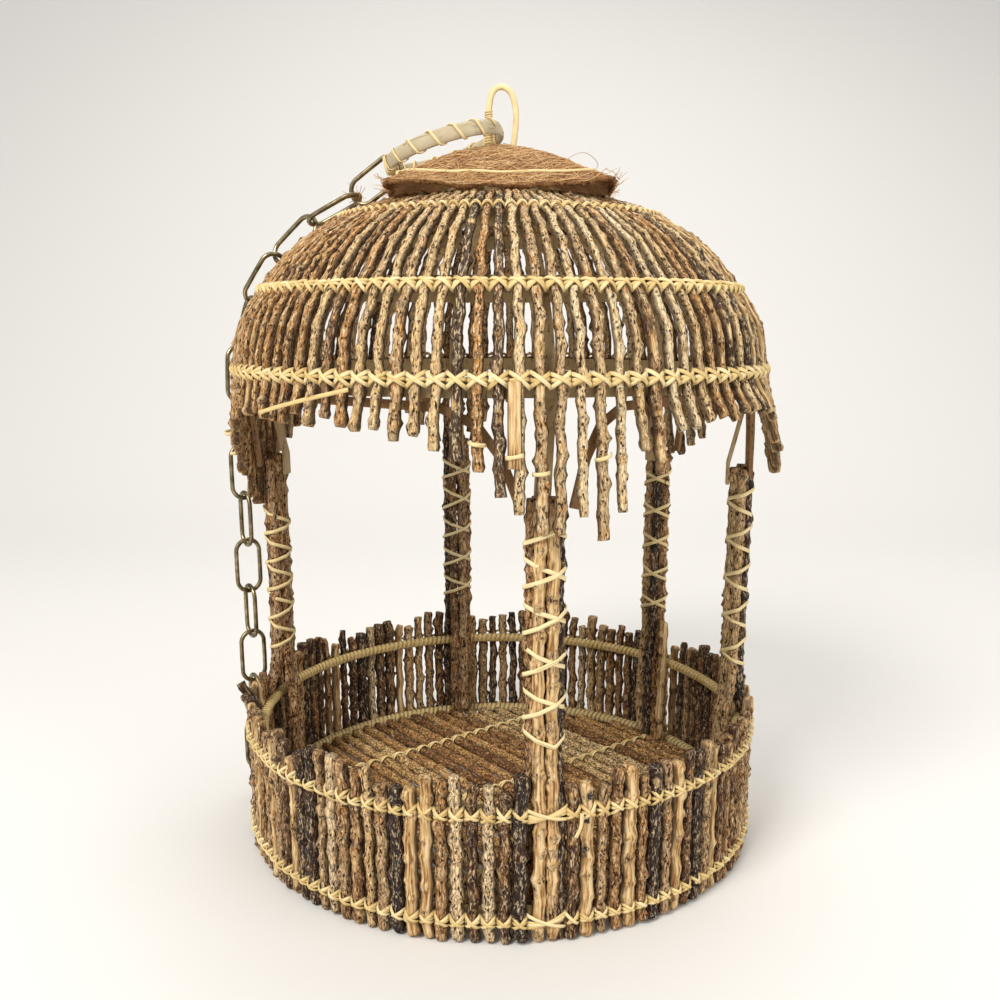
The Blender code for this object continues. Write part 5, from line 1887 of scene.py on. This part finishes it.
@dataclass
class Trim:
    """The small loose pieces: the knot of coir on the chain and the stick by a post.

    Attributes:
        fibre, bark: The finishes of the knot and of the stick.
        nodes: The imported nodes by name.
        link_end: How far a link's end is from its middle.
        knot_fibres, knot_turns: How many fibres the knot has, and how each winds round.
        stick: The stick's course, by distance outwards, turn and height.
        stick_radius, stick_deg: Where it stands.
    """

    fibre: bpy.types.Material
    bark: bpy.types.Material
    nodes: dict[str, bpy.types.Object]
    link_end: float = 0.0165
    knot_fibres: int = 70
    knot_turns: tuple[float, ...] = (0.0, 1.2, 2.5, 3.7)
    stick: tuple[tuple[float, float, float], ...] = (
        (-0.004, -0.8, 0.0175), (0.0, 0.0, 0.060), (0.001, 0.2, 0.106))
    stick_radius: float = 0.1440
    stick_deg: float = 124.0

    def build(self) -> None:
        """Build the knot and the stick."""
        rng = random.Random(97)
        self._knot(rng)
        stick = Bundle("loose_stick")
        line = [on_ring(self.stick_radius + out, self.stick_deg + turn, height)
                for out, turn, height in self.stick]
        Twigs(wander=0.0003).add(stick, line, sideways(self.stick_deg), 0.0034, 0.9, rng, 0.35,
                                 0.75)
        stick.finish(self.bark, Slot.BARK)

    def _knot(self, rng: random.Random) -> None:
        """Wind the knot of coir where the first two links join.

        Args:
            rng: The source of chance.
        """
        first = plane_of(self.nodes["chain_link_01"])[0]
        middle, long_way, _, _ = plane_of(self.nodes["chain_link_02"])
        joint = min((middle + long_way * way for way in (self.link_end, -self.link_end)),
                    key=lambda spot: (spot - first).length)
        knot = Bundle("coir_knot")
        for _ in range(self.knot_fibres):
            way = Vector([rng.gauss(0, 1) for _ in range(3)]).normalized()
            side = way.orthogonal().normalized()
            spin = Matrix.Rotation(rng.uniform(0, math.tau), 3, way)
            across, along = spin @ side, spin @ way.cross(side)
            points = [joint + across * (0.0022 * math.cos(turn))
                      + along * (0.0030 * math.sin(turn)) + way * rng.uniform(-0.0012, 0.0012)
                      for turn in self.knot_turns]
            if rng.random() < 0.12:
                points.append(points[-1] + (points[-1] - points[0]).normalized() * 0.0075)
            knot.add(smooth_line(points, 8), way, 0.00022, 0.00022, rng.random(), 3)
        knot.finish(self.fibre, Slot.COIR, body=Body.FIRST_LINK.value)


@dataclass
class Studio:
    """The pale floor, soft lights and the photograph's camera.

    Attributes:
        focal_px, image_px, centre_row_px: The camera's lens, in the photograph's pixels.
        sensor: The width of its sensor, in millimetres.
        distance, eye_height, pitch_deg: Where it stands and how far it looks down.
        lamps: Each lamp's name, place, watts and size.
        lamp_colour, room_light: The lamps' colour, and the strength of the room's light.
        aim: The height that the lamps look at.
        floor_size, floor_drop: How far the floor goes, and how far under the cage it lies.
        rise_from, rise: Where it begins to curve up behind, and how steeply.
        floor_colour, floor_roughness: Its finish.
    """

    focal_px: float = 1049.0
    image_px: float = 1000.0
    centre_row_px: float = 560.5
    sensor: float = 36.0
    distance: float = 0.655
    eye_height: float = 0.320
    pitch_deg: float = 12.81
    lamps: tuple[tuple[str, Colour, float, float], ...] = (
        ("key", (-0.9, -1.3, 1.6), 38.0, 0.8), ("fill", (1.5, -0.9, 0.9), 14.0, 1.4),
        ("top", (0.2, 0.8, 1.9), 16.0, 1.4))
    lamp_colour: Colour = (1.0, 0.965, 0.91)
    room_light: float = 0.42
    aim: float = 0.2
    floor_size: float = 3.0
    floor_drop: float = 0.0002
    rise_from: float = 0.9
    rise: float = 0.9
    floor_colour: Colour = (0.80, 0.79, 0.77)
    floor_roughness: float = 0.7

    def build(self) -> None:
        """Build the stage, the lights and the camera."""
        self._floor()
        for name, place, watts, size in self.lamps:
            self._light(name, Vector(place), watts, size)
        world = bpy.data.worlds.new("soft room")
        bpy.context.scene.world = world
        world.use_nodes = True
        room = world.node_tree.nodes["Background"].inputs
        room["Color"].default_value = (1, 1, 1, 1)
        room["Strength"].default_value = self.room_light
        lens = bpy.data.cameras.new("camera")
        lens.sensor_width = self.sensor
        lens.lens = self.focal_px * self.sensor / self.image_px
        lens.shift_y = (self.centre_row_px - self.image_px / 2.0) / self.image_px
        camera = place_in_scene("camera", lens)
        camera.location = (0.0, -self.distance, self.eye_height)
        camera.rotation_euler = (math.radians(90.0 - self.pitch_deg), 0.0, 0.0)
        bpy.context.scene.camera = camera
        bpy.context.scene.view_settings.view_transform = "Standard"

    def _floor(self) -> None:
        """A wide pale floor that curves up behind."""
        sweep = bmesh.new()
        bmesh.ops.create_grid(sweep, x_segments=1, y_segments=48, size=self.floor_size)
        for vert in sweep.verts:
            vert.co.z = max(0.0, vert.co.y - self.rise_from) ** 2 * self.rise - self.floor_drop
        floor = place_in_scene("floor", mesh_of("floor", sweep))
        material = bpy.data.materials.new("pale floor")
        material.use_nodes = True
        shader = material.node_tree.nodes["Principled BSDF"]
        shader.inputs["Base Color"].default_value = (*self.floor_colour, 1.0)
        shader.inputs["Roughness"].default_value = self.floor_roughness
        floor.data.materials.append(material)

    def _light(self, name: str, place: Vector, watts: float, size: float) -> None:
        """Hang one soft area light that looks at the cage.

        Args:
            name: Its name.
            place: Where it hangs.
            watts: How strong it is.
            size: How wide it is.
        """
        lamp = bpy.data.lights.new(name, "AREA")
        lamp.energy, lamp.color, lamp.size = watts, self.lamp_colour, size
        holder = place_in_scene(name, lamp)
        holder.location = place
        holder.rotation_euler = (UP * self.aim - place).to_track_quat("-Z", "Y").to_euler()


def dress_nodes(nodes: dict[str, bpy.types.Object],
                finishes: dict[bpy.types.Material, Sequence[str]]) -> None:
    """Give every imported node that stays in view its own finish.

    Args:
        nodes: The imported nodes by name.
        finishes: For each material, the starts of its nodes' names.
    """
    for material, starts in finishes.items():
        for name, node in nodes.items():
            if name.startswith(tuple(starts)):
                node.data.materials.clear()
                node.data.materials.append(material)


def main() -> None:
    """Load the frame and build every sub-assembly."""
    logging.basicConfig(level=logging.INFO, format="%(message)s")
    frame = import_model()
    nodes = frame["nodes"]
    cane = SPLIT_CANE.material()
    dress_nodes(nodes, {
        HOOP_CANE.material(): ("rim_hoop", "floor_hoop"),
        SPLIT_BAMBOO.material(): ("eaves_hoop", "shoulder_hoop", "crown_hoop", "splint_",
                                  "bearer_"),
        ARCH_BAMBOO.material(): ("arch_brace_",)})
    fibre, post_bark = COIR_FIBRE.material(), POST_BARK.material()
    for assembly in (
            Studio(), Dome(DOME_BARK.material(), cane), Wall(WALL_BARK.material(), cane),
            Posts(post_bark, cane), Wrapping(cane), Floor(FLOOR_BARK.material(), cane),
            Chain(AgedBrass().material(), nodes), Ring(RING_BAMBOO.material(), cane, nodes),
            Cap(COIR_CLOTH.material(), fibre, cane), Loop(cane), Trim(fibre, post_bark, nodes)):
        LOG.info("building %s", type(assembly).__name__)
        assembly.build()


if __name__ == "__main__":
    main()
